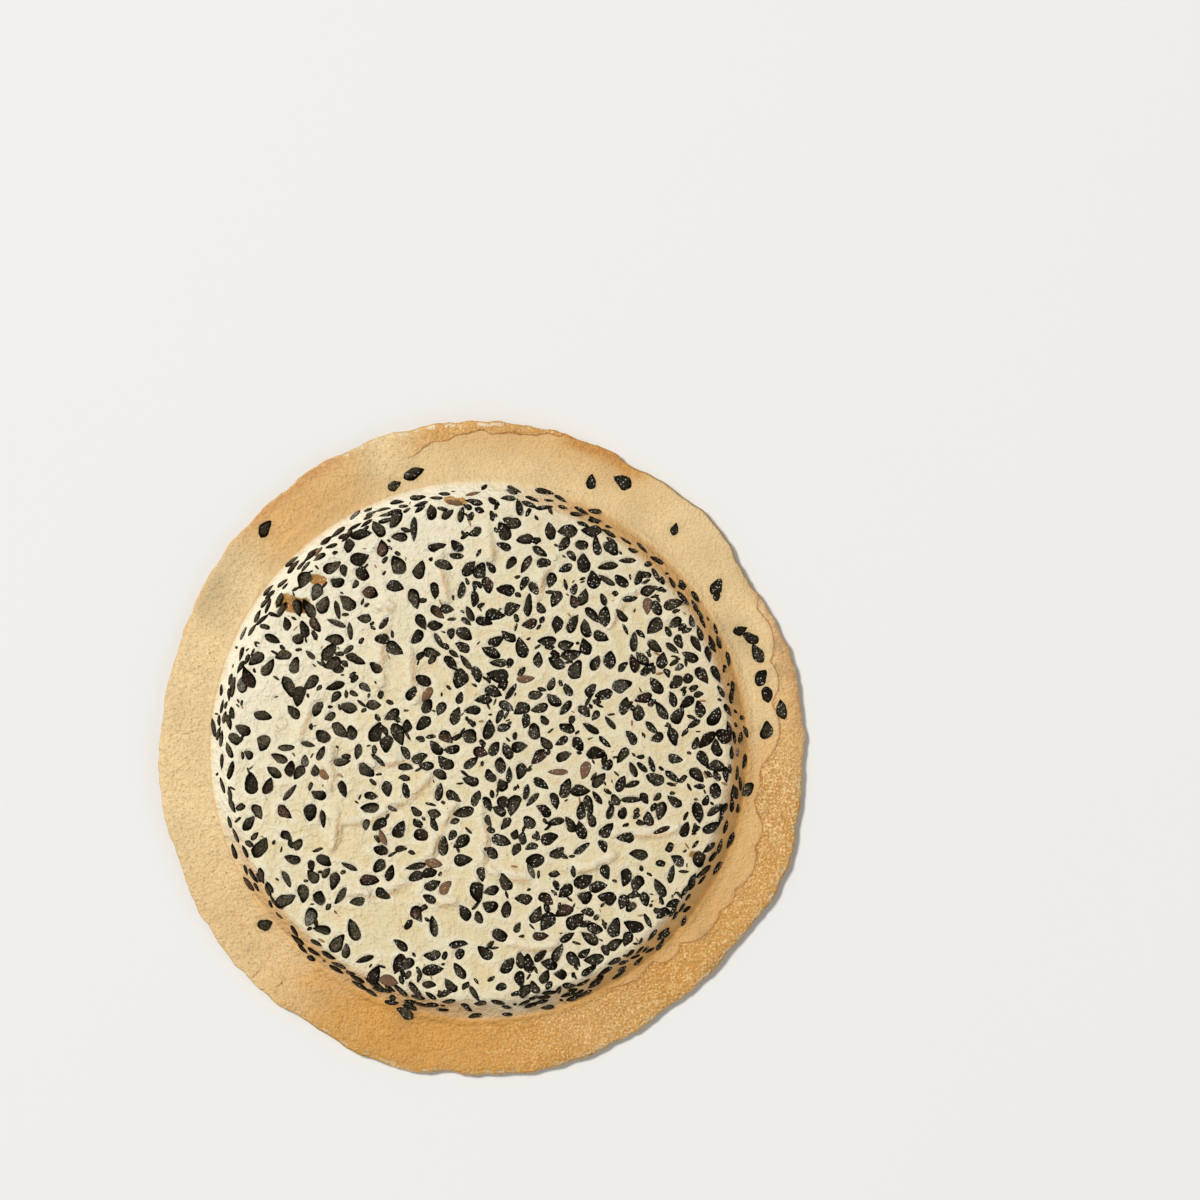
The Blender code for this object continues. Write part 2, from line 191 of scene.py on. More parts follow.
# Where the seeds lie thin or thick: x, y, half width and half height in mm, and the share of the
# usual crowding
PATCHES = (
    (-12.5, 21.0, 4.0, 7.5, 0.22), (-14.0, 9.0, 4.0, 5.0, 0.40), (-35.5, 5.5, 4.5, 5.0, 0.20),
    (-22.5, -11.5, 7.5, 4.5, 0.10), (-32.5, -8.5, 4.5, 4.5, 0.40), (-15.0, -27.0, 7.5, 4.2, 0.10),
    (-6.0, -28.0, 5.0, 4.0, 0.40), (26.5, -14.5, 7.5, 2.6, 0.30), (16.5, -18.5, 5.0, 2.6, 0.45),
    (2.0, -20.5, 5.0, 4.0, 0.55), (1.0, -33.0, 3.5, 5.0, 0.30), (-33.0, -27.0, 4.0, 4.0, 0.35),
    (-43.0, -8.0, 3.5, 8.0, 0.20), (-12.0, 30.0, 3.5, 3.5, 0.55), (0.0, 43.0, 12.0, 2.5, 0.6),
    (32.0, 30.0, 5.0, 5.0, 0.6), (-1.0, -41.5, 5.0, 2.5, 0.6), (20.0, 12.0, 4.0, 6.0, 0.8),
    (-29.5, 22.5, 5.0, 5.5, 2.4), (-17.0, 37.5, 7.0, 4.0, 2.0), (-22.0, 2.5, 5.0, 4.0, 1.9),
    (-4.0, 20.5, 4.5, 5.0, 1.5), (6.5, 4.0, 9.0, 7.0, 1.7), (6.5, -10.0, 6.0, 5.0, 1.9),
    (31.0, 14.0, 6.0, 7.0, 2.0), (37.5, -6.0, 5.0, 8.0, 2.2), (24.5, -27.0, 8.0, 6.0, 2.1),
    (14.0, -38.0, 9.0, 4.5, 2.3), (-12.5, -39.0, 7.0, 3.5, 1.6), (15.5, 28.5, 8.0, 7.0, 1.6),
)
# Seeds squeezed out on to the rim: azimuth in degrees, radius in mm and heading in degrees
RIM_SEEDS = (
    (4.2, 46.3, 80), (7.8, 49.4, 100), (11.5, 47.4, 100), (14.5, 47.3, 60), (19.3, 47.7, 120),
    (24.8, 46.6, 20), (22.6, 47.5, 150), (33.0, 46.0, 70), (34.8, 47.0, 60), (48.6, 47.7, 75),
    (62.0, 49.4, 150), (67.5, 47.0, 80), (103.3, 45.9, 25), (107.8, 45.0, 30), (134.0, 49.8, 60),
    (219.0, 44.6, 15), (254.0, 44.2, 150), (352.0, 43.9, 40),
)

# Broken bits of seed and shreds of hull: their length and how slim they are
BIT_LENGTH, BIT_SLIMNESS = (0.65 * MM, 1.9 * MM), (0.32, 0.75)
FLECK_LENGTH, FLECK_SLIMNESS = (0.6 * MM, 1.3 * MM), (0.25, 0.45)
BIT_THICKNESS = 0.5 * MM
BIT_GAP = 0.22 * MM

# Stage: half the floor's width, the height that the lights face, each light's distance and size, and
# the card's height in degrees
FLOOR_REACH = 3.0
LIGHT_TARGET = 4 * MM
KEY_DISTANCE, KEY_SIZE = 4.5, 0.85
CARD_DISTANCE, CARD_SIZE, CARD_ELEVATION = 3.0, 2.0, 30
KEY_COLOUR = (1.0, 0.975, 0.94)
CARD_COLOUR = (1.0, 0.97, 0.92)
FILL_COLOUR = (1.0, 0.985, 0.96, 1)
# View: its width at the cracker, the pixels across it, and how many of them its middle lies to the
# right of the cracker's and above it
VIEW_WIDTH = 193.56 * MM
VIEW_PIXELS = 1200
VIEW_OFFSET = (121, 151)
VIEW_HEIGHT = 5 * MM


# ---------------------------------------------------------------------------------------------
# Settings that a user would change


def colour_setting(name, description, default):
    return FloatVectorProperty(
        name=name, description=description, default=default, size=4, min=0.0, max=1.0, subtype="COLOR",
    )


def share_setting(name, description, default):
    return FloatProperty(
        name=name, description=description, default=default, min=0.0, max=1.0, subtype="FACTOR",
    )


class CrackerCrustSettings(bpy.types.PropertyGroup):
    cream: colour_setting("Cream", "Pale dough of the raised face", (0.780, 0.682, 0.432, 1))
    # Chalk is the pale dough beside the seeds, and also paints light: the face paler towards the key light,
    # the wall's lit side, and highlights on the ridges' crests and inside the edge
    chalk_and_light: colour_setting("Chalk", "Driest, palest dough, on the upper left", (0.875, 0.835, 0.665, 1))
    pale_rim: colour_setting("Pale rim", "Dry pale dough of the rim's left", (0.865, 0.672, 0.372, 1))
    peach: colour_setting("Peach", "Smooth skin of the rim", (0.800, 0.604, 0.325, 1))
    golden: colour_setting("Golden", "Baked dough of the rim's lower right", (0.685, 0.347, 0.082, 1))
    ember: colour_setting("Ember", "Bright grains of the golden dough", (0.92, 0.68, 0.34, 1))
    # Wall is painted shade: the orange of the wall where it faces away from the key light, on the right and
    # lower left, partly the dough's own browning there
    wall: colour_setting("Wall", "Browned wall on the right", (0.74, 0.43, 0.155, 1))
    inside: colour_setting("Inside", "Dough laid open where the skin tore", (0.50, 0.32, 0.095, 1))
    toasted: colour_setting("Toasted", "Darkest browning, at edges and creases", (0.42, 0.13, 0.03, 1))
    olive: colour_setting("Olive", "Outermost edge on the right", (0.24, 0.17, 0.06, 1))
    smudge: colour_setting("Smudge", "Shade of seeds that lie under the skin", (0.22, 0.185, 0.09, 1))
    grain_depth: FloatProperty(
        name="Grain depth", description="Depth of the dough's fine grain", default=0.22 * MM,
        min=0.0, max=MM, unit="LENGTH", precision=5,
    )


class CrackerSeedSettings(bpy.types.PropertyGroup):
    # A black seed is painted darkest at its outline, as painted shade of the crevice round it, and paler at
    # its crown, partly its own colour and partly painted light
    black: colour_setting("Black", "Outline of a black seed", (0.004, 0.003, 0.0015, 1))
    grey: colour_setting("Grey", "Crown of a black seed", (0.136, 0.115, 0.071, 1))
    brown: colour_setting("Brown", "Crown of an unripe brown seed", (0.175, 0.098, 0.062, 1))
    tan: colour_setting("Tan", "Crown of a hulled tan seed", (0.36, 0.19, 0.07, 1))
    husk: colour_setting("Husk", "Crown of a seed with a clear grey husk", (0.36, 0.33, 0.25, 1))
    fleck: colour_setting("Fleck", "Shreds of pink hull", (0.62, 0.40, 0.26, 1))
    # Dew is painted glints: pale specks that stand for highlights on the seeds' crowns
    painted_glint: colour_setting("Painted glint", "Pale specks on the crowns", (0.75, 0.74, 0.70, 1))
    brown_share: share_setting("Brown share", "Share of the seeds that are brown", 0.075)
    tan_share: share_setting("Tan share", "Share of the seeds that are hulled and tan", 0.018)
    husk_share: share_setting("Husk share", "Share of the seeds that have a clear grey husk", 0.03)
    bits: IntProperty(
        name="Bits", description="Broken bits of seed on the face", default=420, min=1, max=2000,
    )
    flecks: IntProperty(
        name="Flecks", description="Shreds of pink hull on the face", default=45, min=1, max=1000,
    )


class CrackerStageSettings(bpy.types.PropertyGroup):
    floor: colour_setting("Floor", "Plain pale floor", (0.886, 0.893, 0.89, 1))
    key_power: FloatProperty(
        name="Key power", description="Power of the soft key light", default=155.0, min=0.0, unit="POWER",
    )
    key_azimuth: FloatProperty(
        name="Key azimuth", description="Side that the key light comes from", default=math.radians(144),
        unit="ROTATION",
    )
    key_elevation: FloatProperty(
        name="Key elevation", description="Height of the key light over the floor",
        default=math.radians(57), unit="ROTATION",
    )
    card_power: FloatProperty(
        name="Card power", description="Power of the pale card opposite the key light", default=15.0,
        min=0.0, unit="POWER",
    )
    fill: FloatProperty(
        name="Fill", description="Brightness of the even light all round", default=0.27, min=0.0,
    )
    lens: FloatProperty(
        name="Lens", description="Focal length of the camera", default=150.0, unit="CAMERA", min=20.0,
    )
    view_width: FloatProperty(
        name="View width", description="Width of the view at the cracker", default=VIEW_WIDTH,
        unit="LENGTH",
    )


# ---------------------------------------------------------------------------------------------
# Shapes


def soft_min(a, b, blend):
    """The lower of two heights, with the corner between them rounded over blend."""
    near = np.maximum(blend - abs(a - b), 0.0) / blend
    return np.minimum(a, b) - near * near * blend / 4


def front_height(r):
    """Height of the front at radius r: the flat face, the sloping wall and the rim."""
    wall = RIM_TOP + (FRONT_RADIUS - r) * WALL_STEEPNESS
    rim = RIM_TOP - RIM_FALL * np.maximum(r - FRONT_RADIUS, 0.0) / (RIM_RADIUS - FRONT_RADIUS)
    raised = soft_min(FRONT_TOP, wall, SHOULDER_ROUNDING)
    return -soft_min(-raised, -rim, FOOT_ROUNDING)


def outline_shift(azimuth):
    """How far the rim's edge lies outside the plain circle at an azimuth in degrees."""
    shift = 0.0
    for centre, half_width, height in OUTLINE_LOBES:
        away = (azimuth - centre + 180) % 360 - 180
        shift = shift + height * MM * np.exp(-0.7 * (away / half_width) ** 2)
    return shift


def edge_lift(azimuth):
    """How far the rim's edge lifts or dips at an azimuth in degrees."""
    return sum(
        height * MM * np.cos(waves * np.radians(azimuth - phase)) for waves, phase, height in RIM_WAVES
    )


def shape_rim(points):
    """Move points of the turned body, one a row, to where the uneven rim puts them."""
    r = np.hypot(points[:, 0], points[:, 1])
    root = FRONT_RADIUS + 1.5 * MM
    azimuth = np.degrees(np.arctan2(points[:, 1], points[:, 0]))
    share = np.clip((r - root) / (RIM_RADIUS - root), 0.0, None)
    wider = 1 + outline_shift(azimuth) * share / np.maximum(r, MM)
    moved = points.copy()
    moved[:, 0] *= wider
    moved[:, 1] *= wider
    moved[:, 2] += edge_lift(azimuth) * share * share
    return moved


def smooth_step(value, low, high):
    share = np.clip((value - low) / (high - low), 0.0, 1.0)
    return share * share * (3 - 2 * share)


def lumps(x, y, size, draw):
    """Even, smooth lumps between -1 and 1 over a plane, each about size across."""
    rng = np.random.default_rng(draw)
    table = rng.uniform(-1, 1, (64, 64))
    u = x / size
    v = y / size
    column = np.floor(u).astype(int)
    row = np.floor(v).astype(int)
    along = smooth_step(u - column, 0, 1)
    across = smooth_step(v - row, 0, 1)

    def corner(i, j):
        return table[(row + j) % 64, (column + i) % 64]

    near = corner(0, 0) * (1 - along) + corner(1, 0) * along
    far = corner(0, 1) * (1 - along) + corner(1, 1) * along
    return near * (1 - across) + far * across


def lumpy(x, y, layers):
    """Height of uneven dough that is made of layers of lumps."""
    return sum(height * MM * lumps(x, y, size * MM, draw) for size, height, draw in layers)


def line_distance(x, y, points):
    """Distance from places to a chain of points, and how far along the chain its nearest place is."""
    best = np.full(x.shape, 1.0)
    along = np.zeros(x.shape)
    for number, ((ax, ay), (bx, by)) in enumerate(zip(points, points[1:])):
        dx = bx - ax
        dy = by - ay
        share = np.clip(((x - ax) * dx + (y - ay) * dy) / (dx * dx + dy * dy), 0, 1)
        away = np.hypot(x - ax - share * dx, y - ay - share * dy)
        along = np.where(away < best, (number + share) / (len(points) - 1), along)
        best = np.minimum(best, away)
    return best, along


def bowed_line(start_x, start_y, end_x, end_y, bow, count=7):
    """Points in metres along a line in mm whose middle bows out to its left."""
    run_x = end_x - start_x
    run_y = end_y - start_y
    length = math.hypot(run_x, run_y)
    points = []
    for i in range(count):
        share = i / (count - 1)
        off = bow * math.sin(math.pi * share) / length
        x = start_x + run_x * share - run_y * off
        y = start_y + run_y * share + run_x * off
        points.append((x * MM, y * MM))
    return points


def skin_edge_radius(azimuth):
    """Radius at which the smooth skin ends on the rim, before its lobes, at an azimuth in degrees."""
    angles = np.array([angle for angle, _ in SKIN_EDGE] + [360.0])
    radii = np.array([radius for _, radius in SKIN_EDGE] + [SKIN_EDGE[0][1]])
    return np.interp(azimuth % 360, angles, radii) * MM


def past_skin(x, y):
    """How far a place on the rim lies outside the smooth skin; below 0 it lies on the skin."""
    azimuth = np.degrees(np.arctan2(y, x))
    r = np.hypot(x, y)
    plain = r - skin_edge_radius(azimuth) + lumpy(x, y, SKIN_RAGS)
    rng = random.Random(SCATTER_DRAW + 4)
    lobed = r - skin_edge_radius(azimuth) + 1.5 * MM
    turn = LOBES_FROM
    while turn < LOBES_TO:
        radius = rng.uniform(*LOBE_RADIUS)
        middle = float(skin_edge_radius(np.array(turn))) + rng.uniform(-0.5, 0.35) * MM - radius
        lobe_x = middle * math.cos(math.radians(turn))
        lobe_y = middle * math.sin(math.radians(turn))
        lobed = np.minimum(lobed, np.hypot(x - lobe_x, y - lobe_y) - radius)
        turn += rng.uniform(*LOBE_TURN)
    lobed = lobed + lumpy(x, y, LOBE_RAGS)
    along = (azimuth - LOBES_FROM) % 360 / (LOBES_TO - LOBES_FROM)
    share = smooth_step(along, 0.0, 0.06) * (1 - smooth_step(along, 0.94, 1.0))
    return plain + (lobed - plain) * share


def crease_distance(x, y):
    """Distance to the nearest crease across the rim."""
    nearest = np.full(x.shape, 1.0)
    for azimuth, start, end, lean in CREASES:
        angle = math.radians(azimuth)
        out_x, out_y = math.cos(angle), math.sin(angle)
        end_x = out_x * end - out_y * lean
        end_y = out_y * end + out_x * lean
        line = bowed_line(out_x * start, out_y * start, end_x, end_y, lean / 3)
        nearest = np.minimum(nearest, line_distance(x, y, line)[0])
    return nearest + np.abs(lumps(x, y, 1.1 * MM, 41)) * 0.10 * MM


def ring_distance(x, y):
    """Distance outside the nearest bubble ring; below 0 inside it."""
    nearest = np.full(x.shape, 9 * MM)
    for bubble_x, bubble_y, radius in BUBBLES:
        away = np.hypot(x - bubble_x * MM, y - bubble_y * MM) - radius * MM
        nearest = np.where(np.abs(away) < np.abs(nearest), away, nearest)
    return nearest + lumps(x, y, 1.5 * MM, 42) * 0.34 * MM


def tear_share(x, y):
    """How far a place lies in a torn spot: 0 outside and 1 in its middle."""
    share = np.zeros(x.shape)
    for tear_x, tear_y, half_length, half_width in TEARS:
        along = (x / MM - tear_x) / half_length + (y / MM - tear_y) * 0.3 / half_length
        across = (y / MM - tear_y) / half_width
        away = np.hypot(along, across) + lumps(x, y, 1.2 * MM, 24) * 0.35
        share = np.maximum(share, 1 - smooth_step(away, 0.7, 1.1))
    return share


def seed_gap(x, y):
    """Distance from places to the outline of the nearest seed, up to 3 mm; below 0 over a seed."""
    gap = np.full(x.shape, 3.0 * MM)
    for seed in scattered_seeds() + rim_seeds():
        dx = x - seed["x"]
        dy = y - seed["y"]
        near = np.nonzero((np.abs(dx) < 4.5 * MM) & (np.abs(dy) < 4.5 * MM))[0]
        along = dx[near] * math.cos(seed["heading"]) + dy[near] * math.sin(seed["heading"])
        across = dy[near] * math.cos(seed["heading"]) - dx[near] * math.sin(seed["heading"])
        roll = math.radians(seed["roll"])
        shown = math.hypot(seed["width"] * math.cos(roll), SEED_THICKNESS * math.sin(roll)) / 2
        half_width = shown * (1 - SEED_TAPER * np.clip(along / seed["length"] * 2, -1, 1))
        away = np.hypot(along / (seed["length"] / 2), across / half_width) - 1
        gap[near] = np.minimum(gap[near], away * shown)
    return gap


def ridge_share(x, y):
    """1 on the crests of the ornament's ridges, 0 past their feet."""
    share = np.zeros(x.shape)
    for ridge in RIDGES:
        away, along = line_distance(x, y, bowed_line(*ridge))
        width = RIDGE_WIDTH * (0.78 + 0.35 * np.sin(math.pi * along))
        share = np.maximum(share, np.exp(-((away / (0.45 * width)) ** 3)))
    return share


def face_relief(x, y, gap):
    """Height that the ornament, bubbles, tears, seeds and uneven dough add to the flat face."""
    clear = PRESSED_RIDGE + (1 - PRESSED_RIDGE) * smooth_step(gap, -0.20 * MM, 0.45 * MM)
    ridges = RIDGE_HEIGHT * ridge_share(x, y) * clear
    rings = RING_HEIGHT * np.exp(-((ring_distance(x, y) / RING_WIDTH) ** 2))
    lips = SEED_LIP * np.exp(-(((gap - SEED_LIP_WIDTH) / SEED_LIP_WIDTH) ** 2))
    hollows = TEAR_DEPTH * tear_share(x, y) + SEED_BED * smooth_step(-gap, -0.10 * MM, 0.15 * MM)
    return lumpy(x, y, FACE_LUMPS) + ridges + rings + lips - hollows


def rim_relief(x, y, azimuth, skin, crease):
    """Height that the skin's edge, creases and uneven dough add to the rim."""
    top = smooth_step(np.cos(np.radians(azimuth - 86)), 0.90, 0.97)
    past = smooth_step(skin, -0.10 * MM, 0.15 * MM)
    step = past * (TOP_STEP * top - SIDE_STEP * (1 - top))
    lip = SKIN_LIP * np.exp(-((skin + 0.35 * MM) / SKIN_LIP_WIDTH) ** 2)
    rough = (lumpy(x, y, ROUGH_LUMPS) + top * lumpy(x, y, TOP_LUMPS)) * past
    groove = CREASE_DEPTH * np.exp(-((crease / CREASE_WIDTH) ** 2))
    return step + lip + lumpy(x, y, RIM_LUMPS) + rough - groove


def smudge_share(x, y):
    """Share of grey-green shade from the seeds under the skin and beside those on the rim."""
    share = np.zeros(x.shape)
    for spot_x, spot_y, half_width, strength in SMUDGES:
        away = np.hypot(x - spot_x * MM, y - spot_y * MM) / (half_width * MM)
        share += strength * np.exp(-away * away)
    for seed in rim_seeds():
        away = np.hypot(x - seed["x"], y - seed["y"]) / (1.4 * MM)
        share += 0.25 * np.exp(-away ** 4)
    return np.clip(share, 0, 1)


def ridge_foot_shade(x, y):
    """Share of painted shade along the lower right foot of each ridge, the side away from the key light."""
    ridge_shade = np.zeros(x.shape)
    for ridge in RIDGES:
        away, along = line_distance(x - 0.50 * MM, y + 0.66 * MM, bowed_line(*ridge))
        ridge_shade = np.maximum(ridge_shade, np.exp(-((away / (0.32 * MM)) ** 2)) * np.sin(math.pi * along) ** 0.5)
    return ridge_shade


def ring_steps(radius):
    """How many points a ring has: twice as many again wherever they would lie too far apart."""
    steps = MIDDLE_STEPS
    while steps < 32 * MIDDLE_STEPS and radius * math.tau / steps > RING_SPACING:
        steps *= 2
    return steps


def crust_rings():
    """Radius and height of each ring, from near the middle of the front round to that of the back."""
    radii = np.arange(FACE_SPACING, FRONT_RADIUS - 4.1 * MM, FACE_SPACING)
    radii = np.append(radii, np.arange(FRONT_RADIUS - 4.0 * MM, FRONT_RADIUS + 1.5 * MM, WALL_SPACING))
    radii = np.append(radii, np.arange(FRONT_RADIUS + 1.7 * MM, RIM_RADIUS - EDGE_ROUNDING, RIM_SPACING))
    rings = [(float(r), float(front_height(r))) for r in radii]
    edge_top = float(front_height(RIM_RADIUS))
    for turn in np.radians(np.linspace(90, -90, 9)):
        out = RIM_RADIUS - EDGE_ROUNDING * (1 - math.cos(turn))
        rings.append((out, edge_top - EDGE_THICKNESS / 2 * (1 - math.sin(turn))))
    under_start = RIM_RADIUS - EDGE_ROUNDING
    under_end = BACK_RADIUS + 1.3 * MM
    for share in np.linspace(0, 1, 7)[1:]:
        out = under_start + (under_end - under_start) * share
        rings.append((out, edge_top - EDGE_THICKNESS + (RIM_UNDERSIDE - edge_top + EDGE_THICKNESS) * share))
    rings += [(BACK_RADIUS + 0.55 * MM, 0.42 * MM), (BACK_RADIUS + 0.1 * MM, 0.1 * MM)]
    rings += [(float(r), 0.0) for r in np.linspace(BACK_RADIUS - 0.25 * MM, 5 * MM, 9)]
    return rings


def join_rings(start, count, next_start, next_count):
    """Faces between two rings of points, where one ring may have twice as many as the other."""
    if count == next_count:
        return [
            (start + i, next_start + i, next_start + (i + 1) % count, start + (i + 1) % count)
            for i in range(count)
        ]
    if count > next_count:
        return [face[::-1] for face in join_rings(next_start, next_count, start, count)]
    if next_count != 2 * count:
        raise RuntimeError(f"a ring of {count} points can't join one of {next_count}")
    faces = []
    for i in range(count):
        here = start + i
        there = start + (i + 1) % count
        fan = [next_start + (2 * i + k) % next_count for k in range(3)]
        faces += [(here, fan[0], fan[1]), (here, fan[1], there), (there, fan[1], fan[2])]
    return faces


def ring_mesh(name, rings):
    """Closed mesh from rings about Z, from the middle of the front round to that of the back."""
    points = [(0.0, 0.0, rings[0][1])]
    faces = []
    start = count = 0
    for radius, height in rings:
        last_start, last_count = start, count
        start = len(points)
        count = ring_steps(radius)
        points += [
            (radius * math.cos(math.tau * i / count), radius * math.sin(math.tau * i / count), height)
            for i in range(count)
        ]
        if last_count:
            faces += join_rings(last_start, last_count, start, count)
        else:
            faces += [(0, start + i, start + (i + 1) % count) for i in range(count)]
    middle = len(points)
    points.append((0.0, 0.0, rings[-1][1]))
    faces += [(middle, start + (i + 1) % count, start + i) for i in range(count)]
    mesh = bpy.data.meshes.new(name)
    mesh.from_pydata(points, [], faces)
    mesh.shade_smooth()
    return linked_object(name, mesh)


def linked_object(name, data):
    """A new object in the scene that holds a mesh, light or camera."""
    obj = bpy.data.objects.new(name, data)
    bpy.context.scene.collection.objects.link(obj)
    return obj


def mesh_points(mesh):
    points = np.empty(len(mesh.vertices) * 3)
    mesh.vertices.foreach_get("co", points)
    return points.reshape(-1, 3)


def set_mesh_points(mesh, points):
    mesh.vertices.foreach_set("co", points.astype(np.float32).ravel())
    mesh.update()


def paint(mesh, name, values):
    """Store one number a vertex under a name that a finish reads."""
    layer = mesh.attributes.new(name, "FLOAT", "POINT")
    layer.data.foreach_set("value", np.asarray(values, np.float32))


# ---------------------------------------------------------------------------------------------
# Seeds


def crowding(x, y):
    """Share of the usual crowding of seeds at a place on the front."""
    share = 1.0
    for patch_x, patch_y, half_x, half_y, factor in PATCHES:
        away = ((x / MM - patch_x) / half_x) ** 2 + ((y / MM - patch_y) / half_y) ** 2
        share *= 1 + (factor - 1) * math.exp(-0.8 * away * away)
    r = math.hypot(x, y)
    if r > FRONT_RADIUS - FOOT_WIDTH:
        return FOOT_CROWDING * share
    if r > FRONT_RADIUS - WALL_WIDTH:
        return WALL_CROWDING * share
    return share


def draw_seed(rng):
    """One seed's size and the way it lies, before it has a place."""
    length = min(max(rng.gauss(SEED_LENGTH, 0.24 * MM), 2.4 * MM), 3.6 * MM)
    if rng.random() < SMALL_SHARE:
        length *= rng.uniform(0.58, 0.85)
    seed = {
        "length": length,
        "width": length * rng.uniform(0.48, 0.63),
        "heading": rng.uniform(0, math.tau),
        "sink": rng.uniform(-0.22, 0.10),
        "pitch": rng.gauss(0, 8),
        "roll": rng.gauss(0, 13),
        "tone": rng.random(),
    }
    lying = rng.random()
    if lying < 0.20:
        seed["roll"] += rng.choice((-1, 1)) * rng.uniform(30, 80)
    elif lying < 0.30:
        seed["pitch"] += rng.choice((-1, 1)) * rng.uniform(15, 32)
    return seed


def outline_circles(seed, x, y):
    """Two circles, at the round and the pointed end, that stand for a seed's outline."""
    circles = []
    for along, share in ((-0.20, 0.48), (0.24, 0.34)):
        at_x = x + math.cos(seed["heading"]) * along * seed["length"]
        at_y = y + math.sin(seed["heading"]) * along * seed["length"]
        height = float(front_height(math.hypot(at_x, at_y)))
        circles.append((at_x, at_y, height, share * seed["width"]))
    return circles


def lie_on_wall(seed, azimuth):
    """The seed as the iron leaves it on the wall: turned to lie along it, and scraped small."""
    way = 1 if seed["heading"] > math.pi else -1
    lean = (seed["heading"] % math.pi / math.pi - 0.5) * 2 * math.radians(WALL_LEAN)
    return dict(
        seed,
        heading=azimuth + way * math.pi / 2 + lean,
        length=seed["length"] * WALL_LENGTH_LEFT,
        width=seed["width"] * WALL_WIDTH_LEFT,
    )


def room_between(mine, others):
    """Smallest gap from one seed's circles to those of its neighbours, up to the reach."""
    room = SEED_REACH
    for other in others:
        for a in mine:
            for b in other:
                room = min(room, math.dist(a[:3], b[:3]) - a[3] - b[3])
    return room


@functools.lru_cache
def scattered_seeds():
    """Seeds on the front, each tossed a few times and kept where its patch leaves it most room."""
    rng = random.Random(SCATTER_DRAW)
    cells = {}
    seeds = []
    while len(seeds) < SEED_COUNT:
        seed = draw_seed(rng)
        best = None
        for _ in range(TOSSES):
            r = FRONT_RADIUS * math.sqrt(rng.random())
            turn = rng.uniform(0, math.tau)
            x = r * math.cos(turn)
            y = r * math.sin(turn)
            share = crowding(x, y)
            if rng.random() > BARE_LUCK + (1 - BARE_LUCK) * min(share / CROWDED, 1):
                continue
            laid = lie_on_wall(seed, turn) if r > FRONT_RADIUS - WALL_WIDTH else seed
            mine = outline_circles(laid, x, y)
            column = int(x // GRID_CELL)
            row = int(y // GRID_CELL)
            around = [(column + i, row + j) for i in (-1, 0, 1) for j in (-1, 0, 1)]
            others = [other for key in around for other in cells.get(key, ())]
            room = room_between(mine, others)
            score = (room + 5 * SEED_OVERLAP) * share
            if room > -SEED_OVERLAP and (best is None or score > best[0]):
                best = (score, dict(laid, x=x, y=y), mine, (column, row))
        if best is None:
            continue
        _, laid, mine, key = best
        cells.setdefault(key, []).append(mine)
        seeds.append(laid)
    return seeds


@functools.lru_cache
def rim_seeds():
    """The few seeds that lie out on the rim, at the places given."""
    rng = random.Random(SCATTER_DRAW + 1)
    seeds = []
    for azimuth, radius, heading in RIM_SEEDS:
        seed = draw_seed(rng)
        seed["x"] = radius * MM * math.cos(math.radians(azimuth))
        seed["y"] = radius * MM * math.sin(math.radians(azimuth))
        seed["heading"] = math.radians(heading)
        seed["roll"] *= 0.3
        seed["pitch"] *= 0.3
        seeds.append(seed)
    return seeds


def turn_about(axis, angle):
    """Matrix that turns rows of points about X, Y or Z by an angle in radians."""
    c, s = math.cos(angle), math.sin(angle)
    turns = {
        "X": ((1, 0, 0), (0, c, -s), (0, s, c)),
        "Y": ((c, 0, s), (0, 1, 0), (-s, 0, c)),
        "Z": ((c, -s, 0), (s, c, 0), (0, 0, 1)),
    }
    return np.array(turns[axis], float).T


def lay_on_front(points, x, y):
    """Carry points from a level surface, X outwards, to the front's surface at a place."""
    step = 0.2 * MM
    r = math.hypot(x, y)
    inner = max(r - step, 0.0)
    slope = float(front_height(r + step) - front_height(inner)) / (r + step - inner)
    outward = np.array((x, y, slope * r))
    outward /= np.linalg.norm(outward)
    around = np.array((-y, x, 0.0))
    around /= np.linalg.norm(around)
    basis = np.array((outward, around, np.cross(outward, around)))
    place = shape_rim(np.array(((x, y, float(front_height(r))),)))[0]
    return points @ basis + place


